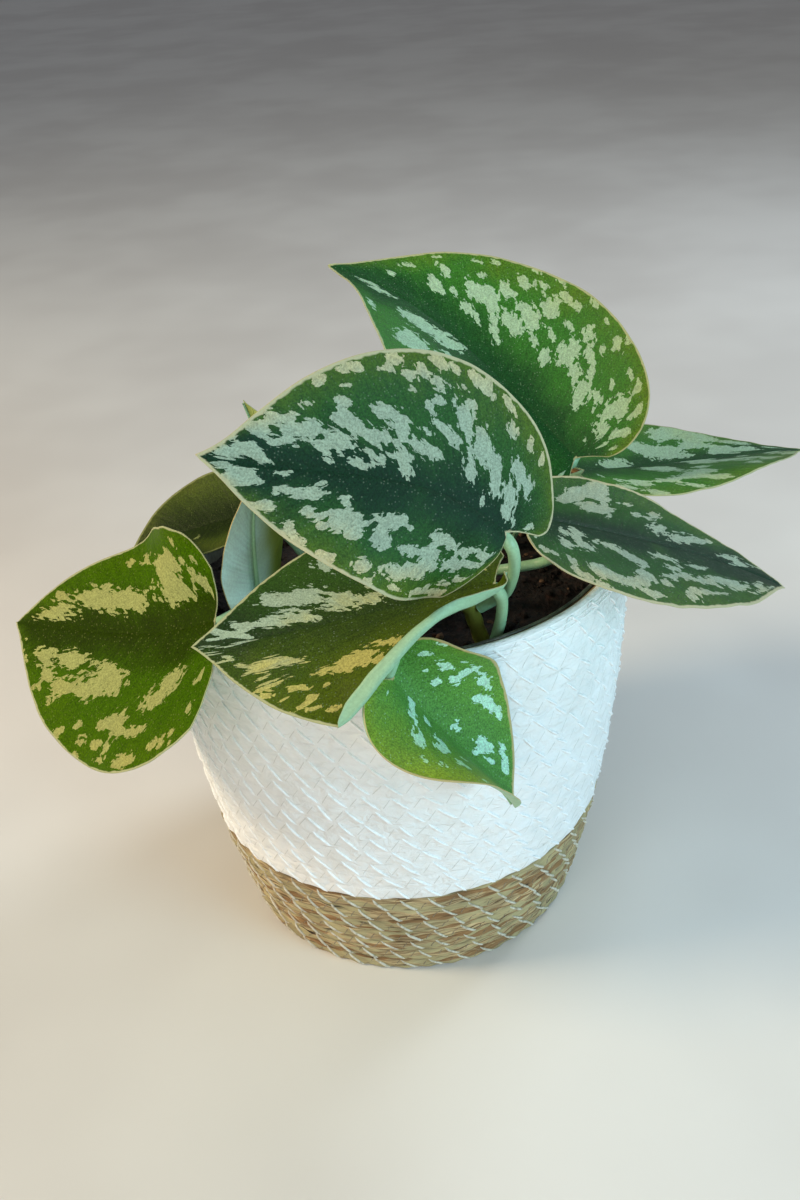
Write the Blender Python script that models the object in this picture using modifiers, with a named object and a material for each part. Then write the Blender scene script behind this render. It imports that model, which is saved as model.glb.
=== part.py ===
"""Satin pothos growing in a small woven basket, as separate solids.

Metres, +Z up. The origin is the centre of the basket's underside and the front is -Y.
Sizes below are written in millimetres and brought to metres by MM.
"""
import math

import bmesh
import bpy
import numpy as np
from mathutils import Vector

MM = 0.001
GAP = 0.3                    # left between pieces that touch

# Basket: one braid coiled into a cup, its upper part painted
RIM_RADIUS = 75.0
BASE_RADIUS = 59.3
HEIGHT = 137.6
SIDE_BULGE = 5.0             # how far the side swells past a straight cone, at half height
WALL = 4.0
FLOOR = 5.0
BRAID_ROWS = 23
BRAID_RELIEF = 0.9
TURN_STEPS = 36

# Liner: a thin plastic cup inside the basket
LINER_WALL = 0.8
LINER_TOP = 136.8

# Soil
SOIL_EDGE = 114.0
SOIL_MOUND = 4.0
SOIL_CLOD = 0.9
HOLE_FLOOR = 103.0
HOLE_TOP = 130.0
HOLE_SIDES = 12

# Leaves
BLADE_THICKNESS = 0.8
VEIN_LINES = 14              # lines across each half of a blade, from the notch to the tip
NOTCH = 0.13                 # where round the margin the first line ends
FAN_SHARE = 0.30             # the first lines fan out from the stalk, the others leave the midrib
VEIN_SWEEP = 1.25
LIFT_REACH = 0.55            # share of the length over which a lifted lobe flattens out
ACROSS = (0.0, 0.35, 0.7, 1.0)
STALK_STEPS = 3              # samples between two route points of a stalk
HEM_STEPS = (0.5, 1.0)       # how far round a rolled lobe its extra lines are
MIDRIB_REACH = 0.75
MIDRIB_END_RADIUS = 0.45

# Half a satin pothos blade laid flat: share of the length, share of the half width
MARGIN = (
    (0.0, 0.0), (-0.055, 0.12), (-0.10, 0.33), (-0.085, 0.60), (-0.005, 0.83), (0.14, 0.97),
    (0.32, 1.0), (0.52, 0.885), (0.70, 0.65), (0.84, 0.36), (0.93, 0.14), (1.0, 0.0),
)

# Colours, linear
PAINTED_SEAGRASS = (0.80, 0.80, 0.77)
LINER_FILM = (0.10, 0.10, 0.08)
SOIL_BROWN = (0.02, 0.013, 0.01)
STEM_OLIVE = (0.22, 0.26, 0.05)
LEAF_DARK = (0.02, 0.09, 0.03)
LEAF_MID = (0.04, 0.15, 0.03)
LEAF_OLIVE = (0.08, 0.15, 0.02)
LEAF_YOUNG = (0.09, 0.27, 0.07)
LEAF_PALE = (0.35, 0.60, 0.45)
LEAF_BUD = (0.25, 0.35, 0.06)


def clear_scene():
    for item in list(bpy.data.objects):
        bpy.data.objects.remove(item, do_unlink=True)


def new_collection(name):
    collection = bpy.data.collections.new(name)
    bpy.context.scene.collection.children.link(collection)
    return collection


def plain_material(name, colour, roughness):
    material = bpy.data.materials.new(name)
    material.use_nodes = True
    shader = material.node_tree.nodes["Principled BSDF"]
    shader.inputs["Base Color"].default_value = (*colour, 1.0)
    shader.inputs["Roughness"].default_value = roughness
    shader.inputs["Metallic"].default_value = 0.0
    return material


def add_mesh_object(name, mesh, collection, material=None):
    item = bpy.data.objects.new(name, mesh)
    collection.objects.link(item)
    if material:
        mesh.materials.clear()
        mesh.materials.append(material)
    return item


def evaluated_mesh(item):
    """The object's mesh with its modifiers applied."""
    graph = bpy.context.evaluated_depsgraph_get()
    return bpy.data.meshes.new_from_object(item.evaluated_get(graph))


def finish_smooth(item, angle=40.0):
    item.data.shade_smooth()
    item.data.set_sharp_from_angle(angle=math.radians(angle))


def spline_through(points, steps):
    """A Catmull-Rom curve through the points, with the given samples between two of them."""
    p = np.asarray(points, dtype=float)
    ends = np.vstack([2 * p[0] - p[1], p, 2 * p[-1] - p[-2]])
    where = np.linspace(0, len(p) - 1, (len(p) - 1) * steps + 1)
    first = np.minimum(where.astype(int), len(p) - 2)
    t = (where - first)[:, None]
    a, b, c, d = ends[first], ends[first + 1], ends[first + 2], ends[first + 3]
    curve = 2 * b + (c - a) * t + (2 * a - 5 * b + 4 * c - d) * t ** 2
    return 0.5 * (curve + (3 * b - a - 3 * c + d) * t ** 3)


def ease(t):
    t = np.clip(t, 0.0, 1.0)
    return t * t * (3 - 2 * t)


# Turned shapes

def side_radius(z):
    """Outer radius of the basket at a height, over the crests of the braid."""
    t = z / HEIGHT
    return BASE_RADIUS + (RIM_RADIUS - BASE_RADIUS) * t + SIDE_BULGE * 4 * t * (1 - t)


def turned(name, profile, collection, material):
    """Turn a profile of (radius, height) in mm, which starts and ends on the axis."""
    mesh = bpy.data.meshes.new(name)
    points = [(r * MM, 0.0, z * MM) for r, z in profile]
    mesh.from_pydata(points, [(i, i + 1) for i in range(len(points) - 1)], [])
    item = add_mesh_object(name, mesh, collection, material)
    screw = item.modifiers.new("turn", "SCREW")
    screw.steps = TURN_STEPS
    screw.render_steps = TURN_STEPS
    screw.use_merge_vertices = True
    screw.merge_threshold = 0.00005
    screw.use_smooth_shade = True
    return item


def basket_profile():
    """Inside floor, inside wall, rolled rim, braided side from top to bottom, underside."""
    row = HEIGHT / BRAID_ROWS
    inside = [(0.0, FLOOR), (side_radius(FLOOR) - WALL, FLOOR)]
    for k in range(1, 5):
        z = HEIGHT * k / 4 - (2.0 if k == 4 else 0.0)
        inside.append((side_radius(z) - WALL, z))
    rim = [(RIM_RADIUS - WALL * 0.7, HEIGHT - 0.4), (RIM_RADIUS - WALL * 0.35, HEIGHT)]
    side = []
    for k in range(BRAID_ROWS, 0, -1):
        crest = (k - 0.5) * row
        valley = (k - 1) * row
        side.append((side_radius(crest), crest))
        if k > 1:
            side.append((side_radius(valley) - BRAID_RELIEF, valley))
    underside = [(BASE_RADIUS - 1.8, 0.0), (0.0, 0.0)]
    return inside + rim + side + underside


def make_basket(collection):
    material = plain_material("seagrass_braid", PAINTED_SEAGRASS, 0.8)
    return turned("woven_basket", basket_profile(), collection, material)


def liner_radius(z):
    return side_radius(z) - WALL - GAP


def make_liner(collection):
    material = plain_material("liner_film", LINER_FILM, 0.35)
    low = FLOOR + GAP
    heights = [low + (LINER_TOP - low) * k / 4 for k in range(5)]
    inner = [(0.0, low + LINER_WALL), (liner_radius(low) - LINER_WALL, low + LINER_WALL)]
    inner += [(liner_radius(z) - LINER_WALL, z) for z in heights[1:]]
    outer = [(liner_radius(z), z) for z in reversed(heights)]
    return turned("plastic_liner", inner + outer + [(0.0, low)], collection, material)


def soil_level(x, y):
    """Height of the soil: a low mound with clods."""
    r = math.hypot(x, y)
    mound = SOIL_MOUND * math.exp(-((r / 38.0) ** 2))
    clods = math.sin(x * 0.31 + 1.3) * math.cos(y * 0.27 - 0.4) + 0.6 * math.sin(x * 0.17 - y * 0.53)
    return SOIL_EDGE + mound + SOIL_CLOD * clods


def make_soil(collection, cutters, roots):
    material = plain_material("potting_soil", SOIL_BROWN, 0.95)
    low = FLOOR + LINER_WALL + 2 * GAP
    edge = SOIL_EDGE - 2.0
    inset = LINER_WALL + 2 * GAP
    top = [(r, SOIL_EDGE) for r in (0.0, 12.0, 24.0, 36.0, 48.0, 60.0)]
    side = [(liner_radius(z) - inset, z) for z in (edge, edge * 0.66, edge * 0.33, low)]
    soil = turned("potting_soil", top + side + [(0.0, low)], collection, material)
    turned_mesh = evaluated_mesh(soil)
    soil.modifiers.clear()
    soil.data = turned_mesh
    for vertex in turned_mesh.vertices:
        if vertex.co.z > (SOIL_EDGE - 0.5) * MM:
            vertex.co.z = soil_level(vertex.co.x / MM, vertex.co.y / MM) * MM
    for x, y, radius in roots:
        add_hole(cutters, x, y, radius)
    cut = soil.modifiers.new("stalk_holes", "BOOLEAN")
    cut.operation = "DIFFERENCE"
    cut.operand_type = "COLLECTION"
    cut.collection = cutters
    cut.solver = "EXACT"
    return soil


def add_hole(cutters, x, y, radius):
    clear_radius = (radius + GAP + 0.05) / math.cos(math.pi / HOLE_SIDES)
    bpy.ops.mesh.primitive_cylinder_add(
        vertices=HOLE_SIDES,
        radius=clear_radius * MM,
        depth=(HOLE_TOP - HOLE_FLOOR) * MM,
        location=(x * MM, y * MM, (HOLE_TOP + HOLE_FLOOR) / 2 * MM),
    )
    cutter = bpy.context.object
    cutter.name = "hole_cutter"
    cutter.hide_render = True
    cutter.display_type = "WIRE"
    for owner in list(cutter.users_collection):
        owner.objects.unlink(cutter)
    cutters.objects.link(cutter)


# Stalks and stems

def tube(name, points, radii, collection):
    """A round stem through the points, as a closed mesh."""
    curve = bpy.data.curves.new(name, "CURVE")
    curve.dimensions = "3D"
    curve.bevel_depth = MM
    curve.bevel_resolution = 2
    curve.use_fill_caps = True
    spline = curve.splines.new("POLY")
    spline.points.add(len(points) - 1)
    for target, point, radius in zip(spline.points, points, radii):
        target.co = (*(Vector(point) * MM), 1.0)
        target.radius = radius
    guide = bpy.data.objects.new(name, curve)
    collection.objects.link(guide)
    mesh = evaluated_mesh(guide)
    bpy.data.objects.remove(guide, do_unlink=True)
    shell = bmesh.new()
    shell.from_mesh(mesh)
    bmesh.ops.remove_doubles(shell, verts=shell.verts, dist=0.00001)
    bmesh.ops.recalc_face_normals(shell, faces=shell.faces)
    shell.to_mesh(mesh)
    shell.free()
    return add_mesh_object(name, mesh, collection)


def fuse(target, other):
    """Join another solid into the target."""
    union = target.modifiers.new("join", "BOOLEAN")
    union.operation = "UNION"
    union.object = other
    union.solver = "EXACT"
    joined = evaluated_mesh(target)
    target.modifiers.clear()
    target.data = joined
    bpy.data.objects.remove(other, do_unlink=True)


# Leaf blades

class Leaf:
    """One leaf: a blade on a midrib that bends, rolls and cups. Angles in degrees, sizes in mm.

    heading and pitch are the midrib's at the stalk and at the tip, arch is added halfway,
    roll turns the blade about it, raising the right half. fold bends both halves up at the
    midrib. The pairs are for the left and the right half: cup bends it evenly, curl past 60%
    of its width and lift at its lobe, lobe scales how far it reaches back past the stalk, and
    notch is where round the margin it begins. hem is for a left lobe that is rolled up along
    the first line of the left half. Its rows give a share of that line, how far the roll is
    out and up from it halfway round, and then the same at its free edge.
    """

    def __init__(self, base, length, half_widths, heading, pitch, roll, arch=0.0, fold=5.0,
                 cup=(0.0, 0.0), curl=(0.0, 0.0), lift=(0.0, 0.0), lobe=(1.0, 1.0),
                 notch=(NOTCH, NOTCH), lines=VEIN_LINES, hem=()):
        self.base = np.array(base, dtype=float)
        self.length = length
        self.half_widths = half_widths
        self.heading = heading
        self.pitch = pitch
        self.roll = roll
        self.arch = arch
        self.fold = fold
        self.cup = cup
        self.curl = curl
        self.lift = lift
        self.lobe = lobe
        self.lines = lines
        self.notch = notch
        self.hem = hem
        self.lay_midrib()

    def lay_midrib(self):
        """Sample the midrib and its frame at shares of the length, from behind the stalk."""
        g = np.linspace(-0.4, 1.0, 281)
        start = int(np.argmin(np.abs(g)))
        heading = np.radians(self.heading[0] + (self.heading[1] - self.heading[0]) * g)
        bow = self.arch * 4 * g * (1 - g) * (g > 0)
        pitch = np.radians(self.pitch[0] + (self.pitch[1] - self.pitch[0]) * g + bow)
        along = np.stack([np.cos(pitch) * np.cos(heading), np.cos(pitch) * np.sin(heading),
                          np.sin(pitch)], axis=-1)
        step = (g[1] - g[0]) * self.length
        line = np.vstack([np.zeros(3), np.cumsum((along[1:] + along[:-1]) / 2 * step, axis=0)])
        flat_side = np.stack([np.sin(heading), -np.cos(heading), 0 * heading], axis=-1)
        flat_up = np.cross(flat_side, along)
        roll = np.radians(self.roll[0] + (self.roll[1] - self.roll[0]) * g)
        cos, sin = np.cos(roll)[:, None], np.sin(roll)[:, None]
        self.share = g
        self.line = line - line[start] + self.base
        self.side = flat_side * cos + flat_up * sin
        self.up = flat_up * cos - flat_side * sin

    def read(self, track, share):
        """A track of the midrib at some shares of the length."""
        return np.stack([np.interp(share, self.share, track[:, k]) for k in range(3)], axis=-1)

    def half(self, side, across):
        """Points of the right (+1) or left (-1) half, by vein line and share of its length."""
        hand = 1 if side > 0 else 0
        margin = spline_through(MARGIN, 8)
        line = np.linspace(0, 1, self.lines)
        place = (self.notch[hand] + (1 - self.notch[hand]) * line) * (len(margin) - 1)
        out = np.interp(place, np.arange(len(margin)), margin[:, 1])[:, None]
        end = np.interp(place, np.arange(len(margin)), margin[:, 0])[:, None]
        end = np.where(end < 0, end * self.lobe[hand], end)
        root = (np.clip((line - FAN_SHARE) / (1 - FAN_SHARE), 0, None) ** 1.3)[:, None]
        r = np.asarray(across)[None, :]
        share = root + (end - root) * r ** VEIN_SWEEP
        reach = out * r
        lateral, height = self.cross_section(share, reach, hand)
        width = self.half_widths[hand]
        up = self.read(self.up, share)
        points = self.read(self.line, share) + up * (height * width)[..., None]
        points = points + self.read(self.side, share) * (lateral * width * side)[..., None]
        if self.hem and side < 0:
            points = np.concatenate([self.rolled_lobe(points, r), points])
        return points

    def rolled_lobe(self, points, r):
        """Extra lines before the first one, which turn up and over like a hem."""
        along = points[0, -1] - points[0, 0]
        along = along / np.linalg.norm(along)
        outward = points[0] - points[1]
        outward[0] = outward[1]
        outward = outward - along * (outward @ along)[:, None]
        outward = outward / np.linalg.norm(outward, axis=1)[:, None]
        up = np.cross(along, outward)
        table = np.array(self.hem).T
        out_half, up_half, out_end, up_end = (
            np.interp(r[0], table[0], column)[:, None] for column in table[1:])
        lines = []
        for t in reversed(HEM_STEPS):
            half, end = 4 * t * (1 - t), t * (2 * t - 1)
            move = outward * (out_half * half + out_end * end) + up * (up_half * half + up_end * end)
            lines.append(points[0] + move)
        return np.array(lines)

    def cross_section(self, share, reach, hand):
        """Sideways and upward offset across the half, as shares of the half width."""
        fade = ease(1 - share / LIFT_REACH)
        lateral = np.zeros_like(reach)
        height = np.zeros_like(reach)
        steps = 24
        for k in range(steps):
            part = (k + 0.5) / steps
            h = reach * part
            angle = self.fold * ease(h / 0.15) + self.lift[hand] * fade * ease(h / 0.35)
            angle = angle + self.cup[hand] * h + self.curl[hand] * np.clip((h - 0.6) / 0.4, 0, None)
            lateral = lateral + np.cos(np.radians(angle)) * reach / steps
            height = height + np.sin(np.radians(angle)) * reach / steps
        return lateral, height

    def under_midrib(self, share, radius):
        """A point under the blade where a rib of that radius is half sunk in it."""
        point = self.read(self.line, np.array([share]))[0]
        up = self.read(self.up, np.array([share]))[0]
        return point - up * (BLADE_THICKNESS + 0.5 * radius)


def blade_sheet(leaf, across):
    """The top of the blade as an open sheet of triangles whose normals face up."""
    sheet = bmesh.new()
    for side in (1, -1):
        points = leaf.half(side, across) * MM
        grid = [[sheet.verts.new(point) for point in line] for line in points]
        for near, far in zip(grid, grid[1:]):
            for j in range(len(across) - 1):
                corners = [near[j], near[j + 1], far[j + 1], far[j]]
                add_split_quad(sheet, corners[::side])
    bmesh.ops.remove_doubles(sheet, verts=sheet.verts, dist=0.00002)
    bmesh.ops.dissolve_degenerate(sheet, edges=sheet.edges, dist=0.00002)
    mesh = bpy.data.meshes.new("blade")
    sheet.to_mesh(mesh)
    sheet.free()
    return mesh


def add_split_quad(sheet, corners):
    """Two triangles, so that both faces of the finished blade are split alike."""
    for picked in ((0, 1, 2), (0, 2, 3)):
        sheet.faces.new([corners[k] for k in picked])


def make_leaf(name, leaf, route, radius, collection, material):
    """A blade with its stalk, which follows the route from its root and goes on as the midrib."""
    blade = add_mesh_object(name, blade_sheet(leaf, ACROSS), collection)
    solid = blade.modifiers.new("thickness", "SOLIDIFY")
    solid.thickness = BLADE_THICKNESS * MM
    solid.offset = -1.0
    thick = evaluated_mesh(blade)
    blade.modifiers.clear()
    blade.data = thick

    stalk = spline_through(list(route) + [leaf.under_midrib(0.0, radius)], STALK_STEPS)
    shares = [MIDRIB_REACH * k / 5 for k in range(1, 6)]
    rib_radii = [radius * 0.8 + (MIDRIB_END_RADIUS - radius * 0.8) * k / 5 for k in range(1, 6)]
    rib = [leaf.under_midrib(share, r) for share, r in zip(shares, rib_radii)]
    points = list(stalk) + rib
    radii = [radius] * len(stalk) + rib_radii
    fuse(blade, tube(name + "_stalk", points, radii, collection))
    blade.data.materials.clear()
    blade.data.materials.append(material)
    finish_smooth(blade)
    return blade


def rooted(x, y, *route):
    """A stalk's route that starts upright in its hole in the soil at (x, y)."""
    level = soil_level(x, y)
    return [(x, y, HOLE_FLOOR + GAP), (x, y, level - 4.0), (x, y, level + 0.6)] + list(route)


def make_vine(collection):
    """The short olive stem that carries the two leaves nearest the front."""
    material = plain_material("vine_skin", STEM_OLIVE, 0.5)
    points = spline_through(VINE_ROUTE, STALK_STEPS)
    vine = tube("vine_stem", points, [VINE_RADIUS] * len(points), collection)
    vine.data.materials.append(material)
    finish_smooth(vine)
    return vine


STALK_RADIUS = 1.6
YOUNG_STALK_RADIUS = 1.2
VINE_RADIUS = 2.3
VINE_ROOT = (26.0, -43.0)
VINE_ROUTE = rooted(*VINE_ROOT, (25.5, -43.0, 119.5), (24.0, -44.0, 125.0), (22.5, -45.0, 131.0),
                    (20.5, -47.5, 137.0), (17.0, -51.5, 141.0), (13.0, -56.0, 143.0))

# Each root in the soil: x, y and the radius of what stands in it
ROOT_BACK = (32.0, 6.0)
ROOT_RIGHT_BACK = (40.0, 20.0)
ROOT_RIGHT = (22.0, -15.0)
ROOT_LOWER = (25.5, -52.5)
ROOT_LEFT = (-26.0, -36.0)
ROOT_LEFT_BACK = (-24.0, -4.0)
ROOT_PALE = (-37.0, -28.0)
ROOT_BUD = (-16.0, 6.0)
ROOTS = (
    (*VINE_ROOT, VINE_RADIUS),
    (*ROOT_BACK, STALK_RADIUS),
    (*ROOT_RIGHT_BACK, STALK_RADIUS),
    (*ROOT_RIGHT, STALK_RADIUS),
    (*ROOT_LOWER, STALK_RADIUS),
    (*ROOT_LEFT, STALK_RADIUS),
    (*ROOT_LEFT_BACK, YOUNG_STALK_RADIUS),
    (*ROOT_PALE, YOUNG_STALK_RADIUS),
    (*ROOT_BUD, YOUNG_STALK_RADIUS),
)


def make_leaves(collection):
    dark = plain_material("leaf_dark", LEAF_DARK, 0.45)
    mid = plain_material("leaf_mid", LEAF_MID, 0.45)
    olive = plain_material("leaf_olive", LEAF_OLIVE, 0.45)
    young = plain_material("leaf_young", LEAF_YOUNG, 0.4)
    pale = plain_material("leaf_pale", LEAF_PALE, 0.5)
    bud = plain_material("leaf_bud", LEAF_BUD, 0.4)

    front_large = Leaf(
        base=(30, -71, 172.5), length=82.5, half_widths=(28.5, 33), heading=(189, 192),
        pitch=(54, 22), arch=-20, roll=(49, 69), fold=1, cup=(6, 8), curl=(-14, 12),
        lift=(-42, -11), lobe=(0.2, 1.4))
    make_leaf("leaf_front_large", front_large,
              [(24.3, -47.6, 135.6), (28, -49.5, 139), (31, -54.5, 144.5), (32.3, -63, 156),
               (31.3, -70.5, 167)],
              STALK_RADIUS, collection, dark)

    back_upright = Leaf(
        base=(60.5, 9.5, 152.5), length=107, half_widths=(42, 39), heading=(130, 158),
        pitch=(31, 12), arch=11, roll=(34, 1), fold=18, cup=(1, 10), curl=(-5, 3),
        lift=(5, 5), lobe=(0.8, 0.8))
    make_leaf("leaf_back_upright", back_upright,
              rooted(*ROOT_BACK, (34, 7, 121), (41, 8.5, 132), (48, 9.5, 142), (55, 10, 148)),
              STALK_RADIUS, collection, mid)

    right_back = Leaf(
        base=(65, 20.5, 143), length=96, half_widths=(38, 38), heading=(24, 23),
        pitch=(-13, -11), arch=3, roll=(9, 14), fold=7, cup=(11, 5), curl=(5, -10),
        lift=(5, -11), lobe=(0.9, 0.9))
    make_leaf("leaf_right_back", right_back,
              rooted(*ROOT_RIGHT_BACK, (42, 20.5, 121), (49, 21.5, 130), (57, 21.5, 137)),
              STALK_RADIUS, collection, mid)

    right_front = Leaf(
        base=(42.5, -45, 162), length=83.5, half_widths=(33.5, 33.5), heading=(6, 11),
        pitch=(-19, -34), arch=2, roll=(0, -3), fold=1, cup=(-5, -5), curl=(28, -9),
        lift=(-8, 0), lobe=(0.9, 0.9))
    make_leaf("leaf_right_front", right_front,
              rooted(*ROOT_RIGHT, (23, -16, 122), (28, -20, 130), (36, -26, 135), (44, -27.5, 137),
                     (48, -32, 142), (47, -39, 151)),
              STALK_RADIUS, collection, dark)

    lower_left = Leaf(
        base=(27, -67.5, 156), length=83, half_widths=(38, 35), heading=(188, 174),
        pitch=(-4, -5), arch=-6, roll=(6, 27), fold=0, cup=(-5, -9), lift=(55, -8),
        lobe=(0.7, 0.7), notch=(0.65, 0.2), hem=(
            (0.0, 4.0, 3.0, 7.5, 7.0), (0.25, 2.8, 1.2, 5.5, 4.6), (0.5, 3.6, 0.6, 2.6, 2.2),
            (0.75, 1.6, 0.8, -0.6, 3.0), (0.88, 0.2, 1.4, -3.0, 4.8), (1.0, 0.4, 0.8, -0.6, 1.8)))
    make_leaf("leaf_lower_left", lower_left,
              rooted(*ROOT_LOWER, (26, -53.5, 120), (27.5, -55.5, 129), (29, -59.5, 139),
                     (29, -63.5, 148)),
              STALK_RADIUS, collection, olive)

    hanging_young = Leaf(
        base=(-1.5, -83, 139), length=57, half_widths=(23.5, 26), heading=(-7, 6),
        pitch=(-59, -69), arch=12, roll=(-19, -8), fold=29, cup=(20, 12), curl=(18, -10),
        lift=(38, -35))
    make_leaf("leaf_hanging_young", hanging_young,
              [(12.5, -56.6, 143.2), (9, -62, 144.5), (4, -71, 145.5), (0, -79, 143)],
              YOUNG_STALK_RADIUS, collection, young)

    left_large = Leaf(
        base=(-49.5, -57, 144), length=84.5, half_widths=(41.5, 31.5), heading=(158, 141),
        pitch=(-28, -17), arch=11, roll=(33, 46), fold=3, cup=(-15, -22), curl=(-4, 18),
        lift=(15, 54), lobe=(0.5, 0.5), notch=(0.22, 0.22))
    make_leaf("leaf_left_large", left_large,
              rooted(*ROOT_LEFT, (-27, -37, 120), (-32, -42, 131), (-41, -49.5, 141)),
              STALK_RADIUS, collection, olive)

    left_back = Leaf(
        base=(-43, -8.5, 150.5), length=40.5, half_widths=(17.5, 18), heading=(180, 181),
        pitch=(-12, -30), arch=6, roll=(15, 17), fold=10, cup=(5, 4), lift=(5, 12))
    make_leaf("leaf_left_back", left_back,
              rooted(*ROOT_LEFT_BACK, (-25, -4.2, 121), (-29, -5, 134), (-36, -7, 145)),
              YOUNG_STALK_RADIUS, collection, olive)

    pale_upright = Leaf(
        base=(-41.5, -31.5, 124), length=54, half_widths=(21, 18.5), heading=(-33, -38),
        pitch=(88, 66), arch=7, roll=(-12, -6), fold=0, cup=(3, 1), curl=(-2, -13),
        lift=(6, -25), lobe=(0.7, 0.7))
    make_leaf("leaf_pale_upright", pale_upright,
              rooted(*ROOT_PALE, (-39, -29.5, 120)),
              YOUNG_STALK_RADIUS, collection, pale)

    bud_leaf = Leaf(
        base=(-34.5, -1.5, 160), length=27, half_widths=(8, 8), heading=(215, 215),
        pitch=(82, 72), roll=(0, 0), fold=20, cup=(50, 50), lobe=(0.2, 0.2),
        notch=(0.36, 0.36), lines=7)
    make_leaf("leaf_bud", bud_leaf,
              rooted(*ROOT_BUD, (-17, 5.7, 122), (-22, 4, 136), (-30, 0.5, 150)),
              YOUNG_STALK_RADIUS, collection, bud)


def main():
    clear_scene()
    parts = new_collection("satin_pothos")
    cutters = new_collection("cutters")
    make_basket(parts)
    make_liner(parts)
    make_soil(parts, cutters, ROOTS)
    make_vine(parts)
    make_leaves(parts)


main()
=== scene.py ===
import math

import bpy
import numpy as np
from mathutils import Matrix, Vector


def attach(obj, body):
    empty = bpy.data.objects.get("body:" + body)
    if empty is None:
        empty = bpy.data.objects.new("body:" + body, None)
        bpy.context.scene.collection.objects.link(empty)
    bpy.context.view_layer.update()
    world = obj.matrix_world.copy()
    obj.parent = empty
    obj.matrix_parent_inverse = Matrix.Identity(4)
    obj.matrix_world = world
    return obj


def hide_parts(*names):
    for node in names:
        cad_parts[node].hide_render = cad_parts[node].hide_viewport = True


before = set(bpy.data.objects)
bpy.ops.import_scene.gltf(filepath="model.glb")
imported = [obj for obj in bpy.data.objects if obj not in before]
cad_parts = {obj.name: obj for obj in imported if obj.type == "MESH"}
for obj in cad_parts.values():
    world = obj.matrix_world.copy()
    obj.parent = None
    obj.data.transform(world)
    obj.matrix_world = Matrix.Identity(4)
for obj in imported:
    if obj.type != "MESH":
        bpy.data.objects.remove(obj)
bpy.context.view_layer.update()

# Satin pothos in a woven basket. Sizes are in millimetres and angles in degrees. The studio is in
# metres, and so is the noise that a material reads at its place. The shapes repeat the named
# values of the part's source, with finer sampling and surface detail.

MM = 0.001

# Basket
RIM_RADIUS = 75.0
BASE_RADIUS = 59.3
HEIGHT = 137.6
SIDE_BULGE = 5.0
WALL = 4.0
FLOOR = 5.0
GAP = 0.3
BRAID_ROWS = 23
ROW = HEIGHT / BRAID_ROWS
BRAID_SINK = 0.42            # of the braid behind the crest line
GROOVE = 0.32                # depth between two rows
FOOT_GROOVE = 0.35           # what the bare foot has more of it
PUFF = 0.24                  # height of the broad bumps
TWIST = 0.32                 # height of the twisted strands at the foot
TWIST_LENGTH = 9.5
CREASE = 0.16                # height of the creases in the paint
PAINT_LINE = 42.5            # the foot below it is bare seagrass
ARC_RADIUS = 70.0            # turns an angle into a length along a row
WALL_STEPS = 480
WALL_LEVELS = 138

# Stitches
STITCH = 9.2                 # between two stitches of a row, along the row
OVER_RADIUS, OVER_PROUD = 0.44, 0.24     # of the leg that lies on the braid
SUNK_RADIUS, SUNK_PROUD = 0.2, 0.0       # of the leg that lies between its cells
CORD_SIDES = 6
STITCH_LEAN = 0.07           # how far a stitch's end strays along the row, in stitches
STITCH_STRAY = 0.05          # and across it, in rows
RIM_CORDS = ((1.0, -0.95, 0.42), (2.6, -0.42, 0.35), (4.4, -0.4, 0.3))  # below, out, radius

# Liner, soil and crumbs
LINER_WALL = 0.8
LINER_TOP = 136.8
SOIL_EDGE = 114.0
SOIL_MOUND = 4.0
MOUND_SPREAD = 38.0
SOIL_CLOD = 0.9
HOLE_FLOOR = 103.0
CRUMBS = 900
CRUMB_REACH = 66.0
CRUMB_SIZES = (0.5, 1.5)     # the smallest, and what the largest has more

# Leaves
NOTCH = 0.13
FAN_SHARE = 0.30
VEIN_SWEEP = 1.25
LIFT_REACH = 0.55
MIDRIB_REACH = 0.97
RIB_STEPS = 40
RIB_END = 0.3                # radius of the midrib at the tip
GROOVE_DEPTH = 0.35          # of the groove over the midrib
BLADE_THICKNESS = 0.5
MARGIN_THICKNESS = 0.28
MARGIN_REACH = 4.0           # the blade is thinner nearer to the margin
FAR_IN = 20.0                # the distance from the margin and midrib that a stalk gets
HEM_STEPS = tuple(np.linspace(0.1, 1.0, 10))
MARGIN = (
    (0.0, 0.0), (-0.055, 0.12), (-0.10, 0.33), (-0.085, 0.60), (-0.005, 0.83), (0.14, 0.97),
    (0.32, 1.0), (0.52, 0.885), (0.70, 0.65), (0.84, 0.36), (0.93, 0.14), (1.0, 0.0),
)
PATCH_RIM = (0.965, 0.985)   # the sum of field and cells between which a silver patch starts
GLOW_REACH = (0.002, 0.003, 0.001)       # of red, green and blue light in a leaf, in metres

# Where each stalk stands in the soil
STALK_RADIUS = 1.6
YOUNG_STALK_RADIUS = 1.2
VINE_RADIUS = 2.3
ROOT_VINE = (26.0, -43.0)
ROOT_BACK = (32.0, 6.0)
ROOT_RIGHT_BACK = (40.0, 20.0)
ROOT_RIGHT = (22.0, -15.0)
ROOT_LOWER = (25.5, -52.5)
ROOT_LEFT = (-26.0, -36.0)
ROOT_LEFT_BACK = (-24.0, -4.0)
ROOT_PALE = (-37.0, -28.0)
ROOT_BUD = (-16.0, 6.0)
GROUPS = ((VINE_RADIUS, (ROOT_VINE,)),
          (STALK_RADIUS, (ROOT_BACK, ROOT_RIGHT_BACK, ROOT_RIGHT, ROOT_LOWER, ROOT_LEFT)),
          (YOUNG_STALK_RADIUS, (ROOT_LEFT_BACK, ROOT_PALE, ROOT_BUD)))
ROOTS = [(*root, radius) for radius, group in GROUPS for root in group]

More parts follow.
